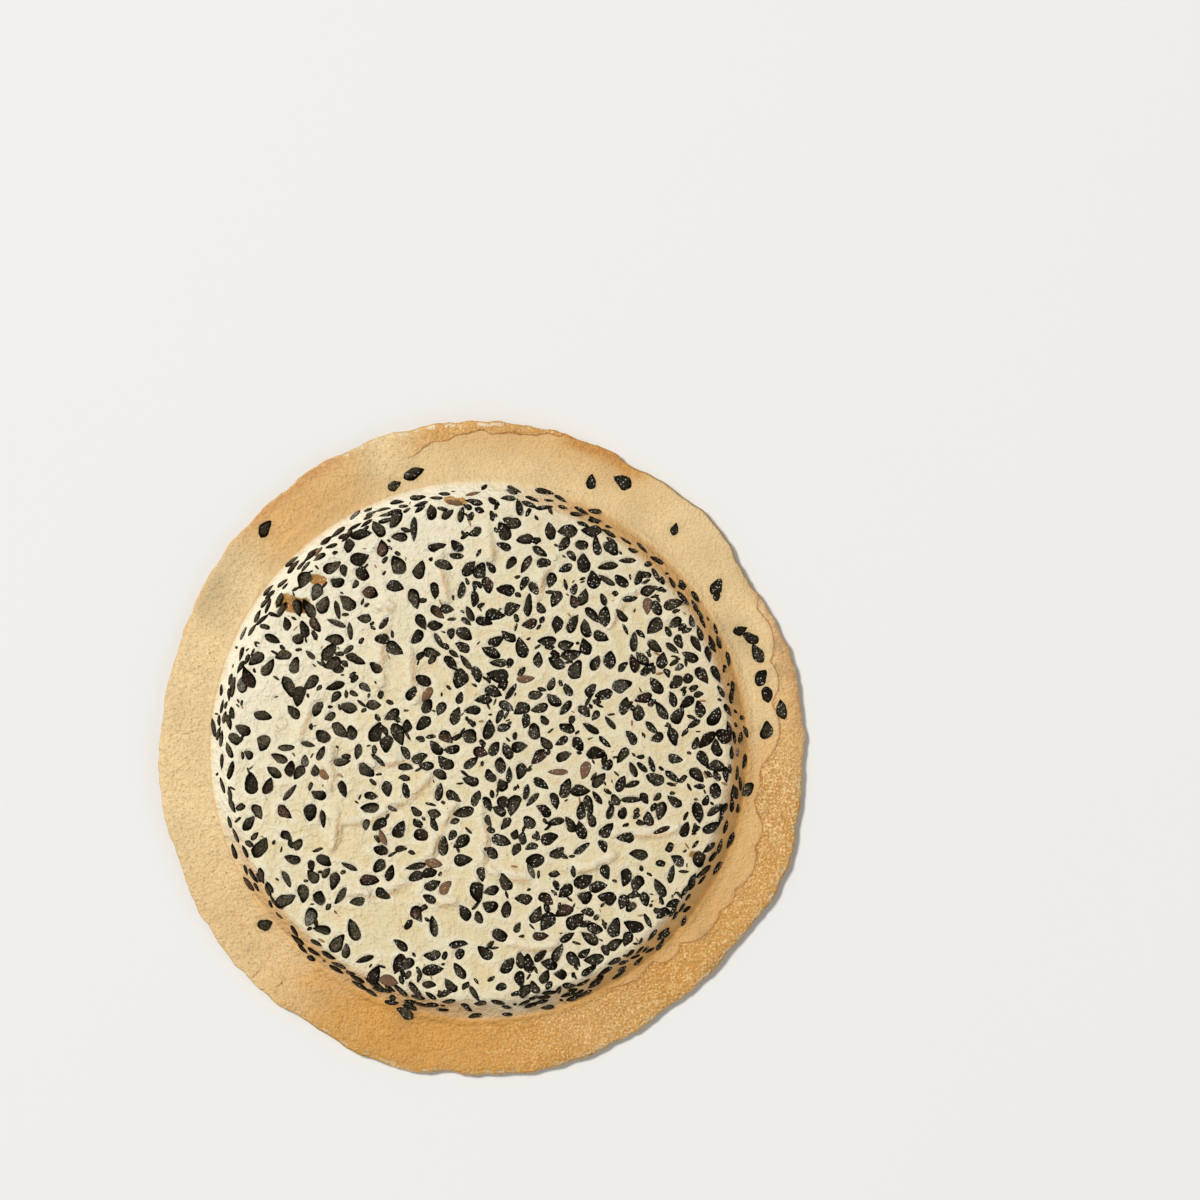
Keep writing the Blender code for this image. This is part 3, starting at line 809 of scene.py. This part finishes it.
def seed_points(seed, ball, rng):
    """Points of one seed from those of a unit ball, and how high on its crown each one lies."""
    x, y, z = ball.T
    side = np.sign(y) * rng.uniform(0.6, 1.6)
    taper = 1 - SEED_TAPER * x
    sharpness = rng.uniform(0.12, 0.75) * np.maximum(x, 0.0) + rng.uniform(0, 0.4) * np.maximum(-x, 0.0)
    pointed = np.maximum(1 - x * x, 0.0) ** sharpness
    uneven = 1 + 0.10 * np.sin(2.7 * x + rng.uniform(0, math.tau) + side)
    uneven += 0.06 * np.sin(5.5 * x + rng.uniform(0, math.tau) - side)
    uneven *= np.array([rng.uniform(0.93, 1.07) for _ in x])
    bend = rng.uniform(-0.15, 0.15) * (1 - x * x) * seed["width"]
    size = rng.uniform(0.92, 1.18)
    points = np.column_stack((
        x * seed["length"] / 2 * size,
        y * seed["width"] / 2 * size * taper * pointed * uneven * 1.04 + bend,
        z * SEED_THICKNESS / 2 * np.sqrt(taper) * pointed,
    ))
    points = points @ turn_about("X", math.radians(seed["roll"]))
    points = points @ turn_about("Y", math.radians(seed["pitch"]))
    points[:, 2] += seed["sink"] * SEED_THICKNESS / 2
    above = np.maximum(points[:, 2], 0.0)
    points[:, 2] = np.where(points[:, 2] > 0, above / (1 + above / PRESSED_HEIGHT), points[:, 2])
    crown = np.clip(points[:, 2] / max(points[:, 2].max(), 0.05 * MM), 0, 1)
    azimuth = math.atan2(seed["y"], seed["x"])
    points = points @ turn_about("Z", seed["heading"] - azimuth)
    return lay_on_front(points, seed["x"], seed["y"]), crown


def unit_ball(around, along):
    """Points and faces of a unit ball whose poles lie on X."""
    ball = bmesh.new()
    bmesh.ops.create_uvsphere(ball, u_segments=around, v_segments=along, radius=1.0)
    points = np.array([vertex.co[:] for vertex in ball.verts])
    faces = [tuple(vertex.index for vertex in face.verts) for face in ball.faces]
    ball.free()
    return points @ turn_about("Y", math.pi / 2), faces


def joined_object(name, pieces, faces):
    """One smooth object from copies of a shape; each has its points, their crowns and its tone."""
    size = len(pieces[0][0])
    mesh = bpy.data.meshes.new(name)
    points = np.vstack([points for points, _, _ in pieces])
    copied = [tuple(size * i + corner for corner in face) for i in range(len(pieces)) for face in faces]
    mesh.from_pydata(points.tolist(), [], copied)
    mesh.shade_smooth()
    paint(mesh, "crown", np.concatenate([crown for _, crown, _ in pieces]))
    paint(mesh, "tone", np.repeat([tone for _, _, tone in pieces], size))
    return linked_object(name, mesh)


def seed_kind(seed, settings):
    """Which kind a seed is, by its tone."""
    rank = seed["tone"]
    shares = {"tan": settings.tan_share, "husk": settings.husk_share, "brown": settings.brown_share}
    for kind, share in shares.items():
        if rank < share:
            return kind
        rank -= share
    return "black"


# ---------------------------------------------------------------------------------------------
# Finishes


class Channel:
    """A number that varies over a surface. Arithmetic on it adds Math nodes to its finish."""

    def __init__(self, finish, socket):
        self.finish = finish
        self.socket = socket

    def math(self, operation, *values):
        return self.finish.number("ShaderNodeMath", {"operation": operation}, dict(enumerate(values)))

    def __add__(self, other):
        return self.math("ADD", self, other)

    def __sub__(self, other):
        return self.math("SUBTRACT", self, other)

    def __rsub__(self, other):
        return self.math("SUBTRACT", other, self)

    def __mul__(self, other):
        return self.math("MULTIPLY", self, other)

    def __abs__(self):
        return self.math("ABSOLUTE", self)

    __radd__ = __add__
    __rmul__ = __mul__

    def step(self, low, high):
        """0 below low and 1 above high, eased between them."""
        ranges = {"Value": self, "From Min": low, "From Max": high}
        return self.finish.number("ShaderNodeMapRange", {"interpolation_type": "SMOOTHSTEP"}, ranges)


def way_to(azimuth):
    """Level unit vector towards an azimuth in degrees."""
    return (math.cos(math.radians(azimuth)), math.sin(math.radians(azimuth)), 0)


class Finish:
    """A material and the nodes that make it."""

    def __init__(self, name):
        self.material = bpy.data.materials.new(name)
        self.material.use_nodes = True
        self.nodes = self.material.node_tree.nodes
        self.links = self.material.node_tree.links
        self.nodes.clear()
        place = self.node("ShaderNodeTexCoord").outputs["Object"]
        self.place = self.vector("SCALE", {0: place, "Scale": 1 / MM})

    def node(self, kind, settings=None, inputs=None):
        """Any node: its settings are set first, then the values or links of its sockets."""
        made = self.nodes.new(kind)
        for name, value in (settings or {}).items():
            setattr(made, name, value)
        for key, value in (inputs or {}).items():
            if isinstance(value, Channel):
                value = value.socket
            if isinstance(value, bpy.types.NodeSocket):
                self.links.new(value, made.inputs[key])
            else:
                made.inputs[key].default_value = value
        return made

    def number(self, kind, settings=None, inputs=None, output=0):
        return Channel(self, self.node(kind, settings, inputs).outputs[output])

    def vector(self, operation, inputs):
        return self.node("ShaderNodeVectorMath", {"operation": operation}, inputs).outputs["Vector"]

    def measure(self, operation, inputs):
        return self.number("ShaderNodeVectorMath", {"operation": operation}, inputs, "Value")

    def noise(self, size, detail=3.0, roughness=0.55):
        """Noise whose lumps are about size mm across."""
        inputs = {"Vector": self.place, "Scale": 1 / size, "Detail": detail, "Roughness": roughness}
        return self.number("ShaderNodeTexNoise", {}, inputs, "Fac")

    def cells(self, size):
        """Distance from the middles of cells about size mm across."""
        inputs = {"Vector": self.place, "Scale": 1 / size}
        return self.number("ShaderNodeTexVoronoi", {"feature": "F1"}, inputs, "Distance")

    def painted(self, name):
        """A number stored on the mesh."""
        return self.number("ShaderNodeAttribute", {"attribute_name": name}, {}, "Fac")

    def mix(self, share, first, second):
        """Colour from first to second by a share."""
        settings = {"data_type": "RGBA", "blend_type": "MIX", "clamp_factor": True}
        return self.node("ShaderNodeMix", settings, {0: share, 6: first, 7: second}).outputs[2]

    def coated(self, colour, *coats):
        """A colour under coats of others, each given as the share that it covers and its colour."""
        for share, coat in coats:
            colour = self.mix(share, colour, coat)
        return colour

    def scaled(self, colour, share):
        """Colour times a number."""
        return self.vector("SCALE", {0: colour, "Scale": share})

    def bump(self, height):
        """Normal of a surface raised by a height in mm."""
        inputs = {"Height": height, "Distance": MM, "Strength": 1.0}
        return self.node("ShaderNodeBump", {}, inputs).outputs["Normal"]

    def along(self, azimuth):
        """How far a place lies from the middle towards an azimuth in degrees, in mm."""
        return self.measure("DOT_PRODUCT", {0: self.place, 1: way_to(azimuth)})

    def level(self):
        """A place without its height."""
        return self.vector("MULTIPLY", {0: self.place, 1: (1, 1, 0)})

    def towards(self, azimuth):
        """Cosine of the angle, about Z, between a place and an azimuth in degrees."""
        unit = self.vector("NORMALIZE", {0: self.level()})
        return self.measure("DOT_PRODUCT", {0: unit, 1: way_to(azimuth)})

    def radius(self):
        """Distance from the middle axis in mm."""
        return self.measure("LENGTH", {0: self.level()})

    def height(self):
        """Height over the back face in mm."""
        return self.number("ShaderNodeSeparateXYZ", {}, {"Vector": self.place}, "Z")

    def surface(self, inputs):
        """End the finish in one Principled shader."""
        shader = self.node("ShaderNodeBsdfPrincipled", {}, inputs)
        output = self.node("ShaderNodeOutputMaterial")
        self.links.new(shader.outputs["BSDF"], output.inputs["Surface"])
        return self.material


class Dough(Finish):
    """Baked dough: cream on the face, tan to golden on the rim, toasted at its edges and creases."""

    def __init__(self, tones):
        super().__init__("baked_dough")
        self.tones = tones
        self.out = self.radius()
        self.skin = self.painted("past_skin")
        self.inward = self.painted("inward")
        self.gap = self.painted("gap")
        self.front = self.height().step(1.2, 1.7)

        # Lumps, from dust to broad clouds
        self.fine = self.noise(0.30, 0.0)
        self.grains = self.noise(0.34, 1.0, 0.5)
        self.crumbs = self.noise(0.42, 0.0)
        self.grain = self.noise(0.75, 4.0, 0.6)
        self.grit = self.noise(0.95, 1.0, 0.35)
        self.patches = self.noise(1.7, 3.0, 0.6)
        self.swell = self.noise(2.8, 1.0, 0.35)
        self.blotch = self.noise(5.5, 3.0, 0.5)
        self.cloud = self.noise(17.0, 2.0, 0.5)

        # Sides of the cracker: on the rim, where the dough's own colour differs; on the wall, the shaded and
        # lit sides, which carry painted shade and painted light
        self.golden_side = (self.towards(297) + (self.blotch - 0.5) * 0.30).step(0.30, 0.62)
        self.shaded_side = (self.towards(2) + (self.blotch - 0.5) * 0.15).step(0.05, 0.50)
        self.shaded_low_side = self.towards(236).step(0.70, 0.95)
        self.lit_side = self.towards(145).step(0.20, 0.75)
        self.top_left = self.towards(125).step(0.955, 0.995)
        self.top = self.towards(82).step(0.90, 0.97)
        self.right = self.towards(3).step(0.90, 0.99)
        self.upper_right = self.towards(45).step(0.93, 0.99)

        # The rim, the rough dough past its skin, and how sandy and how coarse with sugar it is
        self.on_rim = self.out.step(43.6, 44.8)
        self.rough = self.skin.step(-0.10, 0.10)
        self.sandy = self.on_rim * (self.rough * 0.6 + 0.4)
        sugary = self.towards(326).step(0.45, 0.85) * 0.75 + 0.25
        sides = self.golden_side * sugary + self.right * 0.6 + self.top * 0.8
        self.coarse = self.rough * self.on_rim * sides

    def rim(self):
        """Smooth skin inside its edge, rough dough past it, and the baked line between them."""
        tones = self.tones
        smooth = self.coated(
            tones.peach,
            (self.golden_side * 0.64, tones.golden),
            (self.top_left * 0.55, tones.golden),
        )
        rough = self.coated(
            tones.pale_rim,
            (self.golden_side, tones.golden),
            (self.towards(232).step(0.78, 0.97) * 0.22, tones.golden),
            (self.top_left * 0.65 + self.right * 0.45 + self.top * 0.80, tones.golden),
        )
        warm_outside = self.towards(77).step(0.89, 0.985) * self.out.step(45.5, 51.0)
        skin_line = 1 - abs(self.skin).step(0.04, 0.20)
        baked = self.towards(345).step(0.35, 0.75) + self.top
        rim = self.coated(
            self.mix(self.rough, smooth, rough),
            (self.cloud.step(0.42, 0.68) * 0.20, tones.peach),
            (warm_outside * 0.42, tones.golden),
            (skin_line * baked * 0.75, tones.toasted),
            (self.grains.step(0.54, 0.64) * self.coarse * 0.80, tones.ember),
        )
        rim = self.scaled(rim, 1 - (1 - self.grains.step(0.36, 0.48)) * self.coarse * 0.18)
        return self.coated(
            rim,
            (self.patches.step(0.52, 0.66) * self.coarse * 0.22, tones.ember),
            ((1 - self.patches.step(0.34, 0.48)) * self.coarse * 0.12, tones.toasted),
        )

    def face(self):
        """Cream face and wall, with painted light on their lit side and painted shade on their shaded side.
        """
        tones = self.tones
        face = self.coated(
            tones.cream,
            ((1 - self.gap.step(0.1, 0.9)) * 0.55, tones.chalk_and_light),
            (self.blotch.step(0.35, 0.75) * self.gap.step(0.3, 1.4) * 0.40, tones.peach),
            # Painted light: the face paler towards the key light at the upper left
            (self.along(135).step(8, 42) * 0.9, tones.chalk_and_light),
        )
        on_wall = self.out.step(39.8, 41.4)
        face = self.coated(
            # Painted shade: the face darker towards the right; warmer there too
            self.scaled(face, 1 - self.along(0) * 0.0016),
            (self.along(0).step(10, 44) * 0.16, tones.peach),
            # A paler wall, with painted light on its lit side
            (on_wall * (self.lit_side * 0.5 + 0.4), tones.chalk_and_light),
            # Painted shade: orange on the wall's shaded right and lower left, partly its own browning
            (on_wall * (self.shaded_side * 0.92 + self.shaded_low_side * 0.85), tones.wall),
        )
        # Painted light: the wall's lit side brighter
        return self.scaled(face, on_wall * self.lit_side * 0.11 + 1)

    def joined(self):
        """Face and rim, with a painted glow and a baked line where they meet at the foot of the wall."""
        golden = self.tones.golden
        foot = self.out.step(42.0, 43.0) * (1 - self.out.step(43.4, 44.6))
        foot_line = 1 - abs(self.out - 43.7 + (self.grain - 0.5) * 0.8).step(0.04, 0.26)
        return self.coated(
            self.mix(self.out.step(42.5, 44.2), self.face(), self.rim()),
            # Painted glow: light that the dough scatters, golden at the foot of the shaded wall on the right
            (foot * self.towards(330).step(0.40, 0.80) * 0.5, golden),
            (foot_line * self.towards(180).step(-0.2, 0.5) * 0.45, golden),
        )

    def marked(self, dough):
        """The dough with bubble rings, ornament, creases, torn spots and seeds under its skin."""
        tones = self.tones
        ring_line = 1 - abs(self.painted("ring") + (self.grain - 0.5) * 0.3).step(0.02, 0.15)
        torn = self.painted("torn")
        return self.coated(
            dough,
            (ring_line * self.patches.step(0.40, 0.60) * 0.40, tones.olive),
            # Painted highlight on the ridges' crests
            (self.painted("ridge").step(0.2, 0.9) * 0.40, tones.chalk_and_light),
            # Painted shade, golden, along the ridges' lower right feet
            (self.painted("ridge_shade") * self.grain.step(0.30, 0.50) * 0.62, tones.golden),
            ((1 - self.painted("crease").step(0.03, 0.22)) * 0.62, tones.toasted),
            (torn.step(0.05, 0.4), tones.inside),
            (torn.step(0.05, 0.3) * (1 - torn.step(0.3, 0.6)) * 0.35, tones.toasted),
            (torn.step(0.25, 0.7) * self.grain.step(0.42, 0.58) * 0.75, tones.toasted),
            (torn.step(0.2, 0.6) * self.grains.step(0.58, 0.66) * 0.6, tones.ember),
            (self.painted("smudge") * (self.grain * 0.6 + 0.40), tones.smudge),
        )

    def edged(self, dough):
        """The dough with its edge darker, stained and pale in places, a painted highlight inside it, and the
        plain back.
        """
        tones = self.tones
        outermost = 1 - self.inward.step(0.05, 0.45)
        browned = 1 - self.inward.step(0.2, 2.4)
        pale_and_lit_line = (1 - abs(self.inward - 0.45).step(0.06, 0.34)) * self.patches.step(0.48, 0.60)
        darker_edge = self.top_left * 0.55 + self.towards(18).step(0.93, 0.99) * 0.45
        stain = self.towards(67).step(0.985, 0.997) * (1 - self.inward.step(0.9, 2.6))
        ragged = self.towards(100).step(0.94, 0.98)
        front = self.coated(
            dough,
            # Darker outer edge at the upper left and on the right
            (browned * darker_edge * self.grain.step(0.3, 0.6), tones.toasted),
            (stain * 0.75, tones.golden),
            (stain * self.grain.step(0.35, 0.60) * 0.45, tones.toasted),
            # Pale line inside the edge: a painted highlight at the lower right, pale ragged crust at the top
            (pale_and_lit_line * (self.golden_side * 0.5 + ragged * 0.8), tones.chalk_and_light),
            (outermost * (self.upper_right * 0.7 + self.golden_side * 0.45 + 0.10), tones.olive),
            (browned * self.golden_side * self.patches.step(0.45, 0.60) * 0.22, tones.olive),
        )
        back = self.mix(self.blotch.step(0.3, 0.75) * 0.5, tones.pale_rim, tones.golden)
        return self.mix(self.front, back, front)

    def dusted(self, dough):
        """The dough with dusty specks, pores and browned pits, and painted shade in the hollows of its
        relief.
        """
        tones = self.tones
        dusty = 1 + (self.fine - 0.5) * 0.12 + (self.grain - 0.5) * (self.sandy * 0.2 + 0.15)
        dusty = dusty + (self.blotch - 0.5) * (self.on_rim * 0.22 + 0.06)
        pores = (1 - self.cells(2.6).step(0.040, 0.075)) * self.blotch.step(0.46, 0.52)
        # Painted shade in the broad hollows of the face's relief
        hollows = (1 - self.swell.step(0.34, 0.54)) * (1 - self.on_rim) * 0.04
        return self.coated(
            self.scaled(dough, dusty),
            (pores * self.front * 0.75, tones.olive),
            ((1 - self.fine.step(0.30, 0.50)) * (self.sandy * 0.11 + 0.04), tones.toasted),
            # Painted shade, golden, where the relief's grit and swell lie low
            ((1 - self.grit.step(0.34, 0.54)) * 0.08 + hollows, tones.golden),
            # Painted shade, golden, where the relief's crumbs lie low
            ((1 - self.crumbs.step(0.36, 0.50)) * self.sandy * 0.16, tones.golden),
            ((1 - self.fine.step(0.20, 0.28)) * self.sandy * 0.22, tones.toasted),
        )

    def relief(self):
        """Height of the grain in mm: deeper at the left, shallower and sandier on the rim."""
        left = 1 - self.along(0).step(-30, 15)
        small = self.crumbs * (self.sandy * 0.35 + 0.75) + self.grains * self.coarse * 0.5
        large = self.grit * (left * 0.9 + 1.0 - self.on_rim * 0.4)
        broad = self.swell * (left * 2.0 + 1.8 - self.on_rim * 2.4)
        return (small + large + broad) * (self.tones.grain_depth / MM)


def crust_finish(tones):
    dough = Dough(tones)
    return dough.surface({
        "Base Color": dough.dusted(dough.edged(dough.marked(dough.joined()))),
        "Roughness": 0.80 - dough.golden_side * dough.on_rim * 0.16,
        "Normal": dough.bump(dough.relief()),
        "Specular IOR Level": 0.22,
    })


def seed_finish(name, dark, pale, gloss, painted_glint):
    """Seed coat, pitted: painted shade at its outline, a crown paler in colour and painted light, painted
    glints.
    """
    finish = Finish(name)
    tone = finish.painted("tone")
    crown = finish.painted("crown")
    mottle = finish.noise(0.55, 3.0)
    wrinkles = finish.noise(0.32, 3.0, 0.65)
    # Crowns paler, and glints fewer, on the left
    on_left = 1 - finish.along(0).step(-34, 8)
    # The crown's paler colour with painted light; the outline stays dark as painted shade
    lit = crown.step(0.42, 0.98) * (tone * 0.8 + 0.2) * (on_left * 0.5 + 0.7)
    coat = finish.mix(lit * (wrinkles.step(0.40, 0.60) * 0.8 + 0.2), dark, pale)
    # Painted glints: pale specks on the crowns
    specks = (1 - finish.cells(0.40).step(0.14, 0.34)) * crown.step(0.30, 0.65) * mottle.step(0.44, 0.54)
    coat = finish.mix(specks * (0.85 - on_left * 0.7), coat, painted_glint)
    return finish.surface({
        "Base Color": coat,
        "Roughness": mottle.step(0.3, 0.7) * 0.2 + gloss,
        "Normal": finish.bump(wrinkles * 0.26 + finish.noise(0.12, 2.0) * 0.05),
        "Specular IOR Level": 0.04,
        "Specular Tint": (1.0, 0.85, 0.55, 1),
    })


def floor_finish(colour):
    finish = Finish("plain_floor")
    tint = finish.mix(finish.noise(60.0, 2.0) * 0.04, colour, (0.78, 0.77, 0.75, 1))
    return finish.surface({"Base Color": tint, "Roughness": 0.9, "Specular IOR Level": 0.1})


# ---------------------------------------------------------------------------------------------
# Operators


def dress(obj, material):
    """Give a piece its finish, fix it to the frame and let it stand in for the solid."""
    obj.data.materials.append(material)
    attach(obj, BODY)
    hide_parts(NODE)


class CRACKER_OT_crust(bpy.types.Operator):
    """Build the moulded dough with its ornament, rim and finish"""
    bl_idname = "cracker.crust"
    bl_label = "Crust"

    def execute(self, context):
        obj = ring_mesh("cracker_crust", crust_rings())
        mesh = obj.data
        points = mesh_points(mesh)
        x, y, z = points.T.copy()
        r = np.hypot(x, y)
        azimuth = np.degrees(np.arctan2(y, x))
        arc = np.radians(azimuth) * RIM_RADIUS
        front = z > RIM_TOP - RIM_FALL - EDGE_THICKNESS / 2
        skin = past_skin(x, y)
        gap = seed_gap(x, y)
        crease = crease_distance(x, y)

        on_face = front * (1 - smooth_step(r, *FACE_END))
        on_wall = front * smooth_step(r, *WALL_START) * (1 - smooth_step(r, *WALL_END))
        on_rim = front * smooth_step(r, *RIM_START)
        points[:, 2] += face_relief(x, y, gap) * on_face
        points[:, 2] += lumpy(arc, z, WALL_LUMPS) * on_wall
        points[:, 2] += rim_relief(x, y, azimuth, skin, crease) * on_rim
        nibbled = lumpy(arc, 0 * r, EDGE_NIBBLES) * smooth_step(r, *EDGE_START)
        points[:, :2] *= (1 + nibbled / np.maximum(r, MM))[:, None]
        set_mesh_points(mesh, shape_rim(points))

        paint(mesh, "smudge", smudge_share(x, y) * front)
        paint(mesh, "past_skin", skin / MM)
        paint(mesh, "inward", np.where(front, (RIM_RADIUS - r) / MM, 0.0))
        paint(mesh, "gap", gap / MM)
        paint(mesh, "ring", np.where(on_face > 0.5, ring_distance(x, y) / MM, 9.0))
        # The ridges' crests, which get a painted highlight
        paint(mesh, "ridge", ridge_share(x, y) * on_face)
        # The ridges' lower right feet, which get painted shade
        paint(mesh, "ridge_shade", ridge_foot_shade(x, y) * on_face)
        paint(mesh, "crease", np.where(front, crease / MM, 9.0))
        paint(mesh, "torn", tear_share(x, y) * front)
        dress(obj, crust_finish(context.scene.cracker_crust))
        return {"FINISHED"}


class CRACKER_OT_seeds(bpy.types.Operator):
    """Press the sesame seeds into the face and the rim"""
    bl_idname = "cracker.seeds"
    bl_label = "Seeds"

    def execute(self, context):
        settings = context.scene.cracker_seeds
        looks = {
            "black": (settings.black, settings.grey, 0.28),
            "brown": (settings.black, settings.brown, 0.36),
            "tan": (settings.brown, settings.tan, 0.44),
            "husk": (settings.black, settings.husk, 0.30),
        }
        rng = random.Random(SCATTER_DRAW + 2)
        ball, faces = unit_ball(14, 10)
        pieces = {kind: [] for kind in looks}
        for seed in scattered_seeds() + rim_seeds():
            kind = seed_kind(seed, settings)
            points, crown = seed_points(seed, ball, rng)
            pieces[kind].append((points, crown, rng.random()))
        for kind, look in looks.items():
            if not pieces[kind]:
                raise RuntimeError(f"no seed is {kind}: raise its share")
            material = seed_finish(f"{kind}_sesame", *look, settings.painted_glint)
            dress(joined_object(f"{kind}_seeds", pieces[kind], faces), material)
        return {"FINISHED"}


def scattered_bits(count, lengths, slimness, draw):
    """Broken bits that lie between the seeds: the points, crowns and tone of each, and their faces."""
    rng = random.Random(draw)
    spots = []
    while len(spots) < 6 * count:
        seed = rng.choice(scattered_seeds())
        away = rng.uniform(1.2, 2.9) * MM
        turn = rng.uniform(0, math.tau)
        x = seed["x"] + away * math.cos(turn)
        y = seed["y"] + away * math.sin(turn)
        if math.hypot(x, y) < FRONT_RADIUS - 0.3 * MM and rng.random() < 0.35 + 0.5 * crowding(x, y):
            spots.append((x, y))
    gaps = seed_gap(*np.array(spots).T)
    free = [spot for spot, gap in zip(spots, gaps) if gap > BIT_GAP][:count]
    if len(free) < count:
        raise RuntimeError(f"only {len(free)} bits of {count} have room between the seeds")
    ball, faces = unit_ball(8, 6)
    pieces = []
    for x, y in free:
        length = rng.uniform(*lengths)
        width = length * rng.uniform(*slimness)
        size = np.array((length, width, min(width, BIT_THICKNESS))) / 2
        chip = ball * size * np.array([[rng.uniform(0.84, 1.16)] for _ in ball])
        crown = np.clip(chip[:, 2] / size[2], 0, 1)
        chip = chip @ turn_about("Z", rng.uniform(0, math.tau))
        pieces.append((lay_on_front(chip, x, y), crown, rng.random()))
    return pieces, faces


class CRACKER_OT_bits(bpy.types.Operator):
    """Scatter broken bits of seed and shreds of hull between the seeds"""
    bl_idname = "cracker.bits"
    bl_label = "Seed bits"

    def execute(self, context):
        settings = context.scene.cracker_seeds
        pieces, faces = scattered_bits(settings.bits, BIT_LENGTH, BIT_SLIMNESS, SCATTER_DRAW + 3)
        material = seed_finish("seed_bits", settings.black, settings.grey, 0.38, settings.painted_glint)
        dress(joined_object("seed_bits", pieces, faces), material)
        pieces, faces = scattered_bits(settings.flecks, FLECK_LENGTH, FLECK_SLIMNESS, SCATTER_DRAW + 5)
        material = seed_finish("hull_flecks", settings.tan, settings.fleck, 0.6, settings.painted_glint)
        dress(joined_object("hull_flecks", pieces, faces), material)
        return {"FINISHED"}


def area_light(name, azimuth, elevation, distance, size, power, colour):
    """A square soft light that faces the cracker."""
    light = bpy.data.lights.new(name, "AREA")
    light.shape = "SQUARE"
    light.size = size
    light.energy = power
    light.color = colour
    obj = linked_object(name, light)
    level = math.cos(elevation)
    way = Vector((level * math.cos(azimuth), level * math.sin(azimuth), math.sin(elevation)))
    obj.location = Vector((0, 0, LIGHT_TARGET)) + way * distance
    obj.rotation_euler = (-way).to_track_quat("-Z", "Y").to_euler()


class CRACKER_OT_stage(bpy.types.Operator):
    """Set up the pale floor, the soft light and the camera"""
    bl_idname = "cracker.stage"
    bl_label = "Stage"

    def execute(self, context):
        settings = context.scene.cracker_stage
        scene = context.scene
        scene.view_settings.view_transform = "Standard"

        mesh = bpy.data.meshes.new("floor")
        plane = bmesh.new()
        bmesh.ops.create_grid(plane, x_segments=1, y_segments=1, size=FLOOR_REACH)
        plane.to_mesh(mesh)
        plane.free()
        floor = linked_object("floor", mesh)
        mesh.materials.append(floor_finish(settings.floor))

        world = bpy.data.worlds.new("studio")
        world.use_nodes = True
        background = world.node_tree.nodes["Background"]
        background.inputs["Color"].default_value = FILL_COLOUR
        background.inputs["Strength"].default_value = settings.fill
        scene.world = world

        area_light(
            "key", settings.key_azimuth, settings.key_elevation, KEY_DISTANCE, KEY_SIZE,
            settings.key_power, KEY_COLOUR,
        )
        area_light(
            "card", settings.key_azimuth + math.pi, math.radians(CARD_ELEVATION), CARD_DISTANCE, CARD_SIZE,
            settings.card_power, CARD_COLOUR,
        )

        lens = bpy.data.cameras.new("camera")
        lens.sensor_width = 36.0
        lens.lens = settings.lens
        camera = linked_object("camera", lens)
        distance = settings.view_width * settings.lens / lens.sensor_width
        middle = Vector((*VIEW_OFFSET, 0)) * (VIEW_WIDTH / VIEW_PIXELS)
        camera.location = middle + Vector((0, 0, VIEW_HEIGHT + distance))
        scene.camera = camera
        return {"FINISHED"}


class CRACKER_PT_panel(bpy.types.Panel):
    """Lists the cracker's steps and settings"""
    bl_idname = "CRACKER_PT_panel"
    bl_label = "Sesame cracker"
    bl_space_type = "VIEW_3D"
    bl_region_type = "UI"
    bl_category = "Cracker"

    def draw(self, context):
        for operator in OPERATORS:
            self.layout.operator(operator.bl_idname)
        for name, group in SETTINGS.items():
            column = self.layout.column(align=True)
            for setting in group.__annotations__:
                column.prop(getattr(context.scene, name), setting)


OPERATORS = (CRACKER_OT_crust, CRACKER_OT_seeds, CRACKER_OT_bits, CRACKER_OT_stage)
SETTINGS = {
    "cracker_crust": CrackerCrustSettings,
    "cracker_seeds": CrackerSeedSettings,
    "cracker_stage": CrackerStageSettings,
}


def register():
    for each in (*SETTINGS.values(), *OPERATORS, CRACKER_PT_panel):
        bpy.utils.register_class(each)
    for name, group in SETTINGS.items():
        setattr(bpy.types.Scene, name, PointerProperty(type=group))


def unregister():
    for name in SETTINGS:
        delattr(bpy.types.Scene, name)
    for each in (CRACKER_PT_panel, *reversed(OPERATORS), *reversed(SETTINGS.values())):
        bpy.utils.unregister_class(each)


def main():
    register()
    bpy.ops.cracker.crust()
    bpy.ops.cracker.seeds()
    bpy.ops.cracker.bits()
    bpy.ops.cracker.stage()


if __name__ == "__main__":
    main()
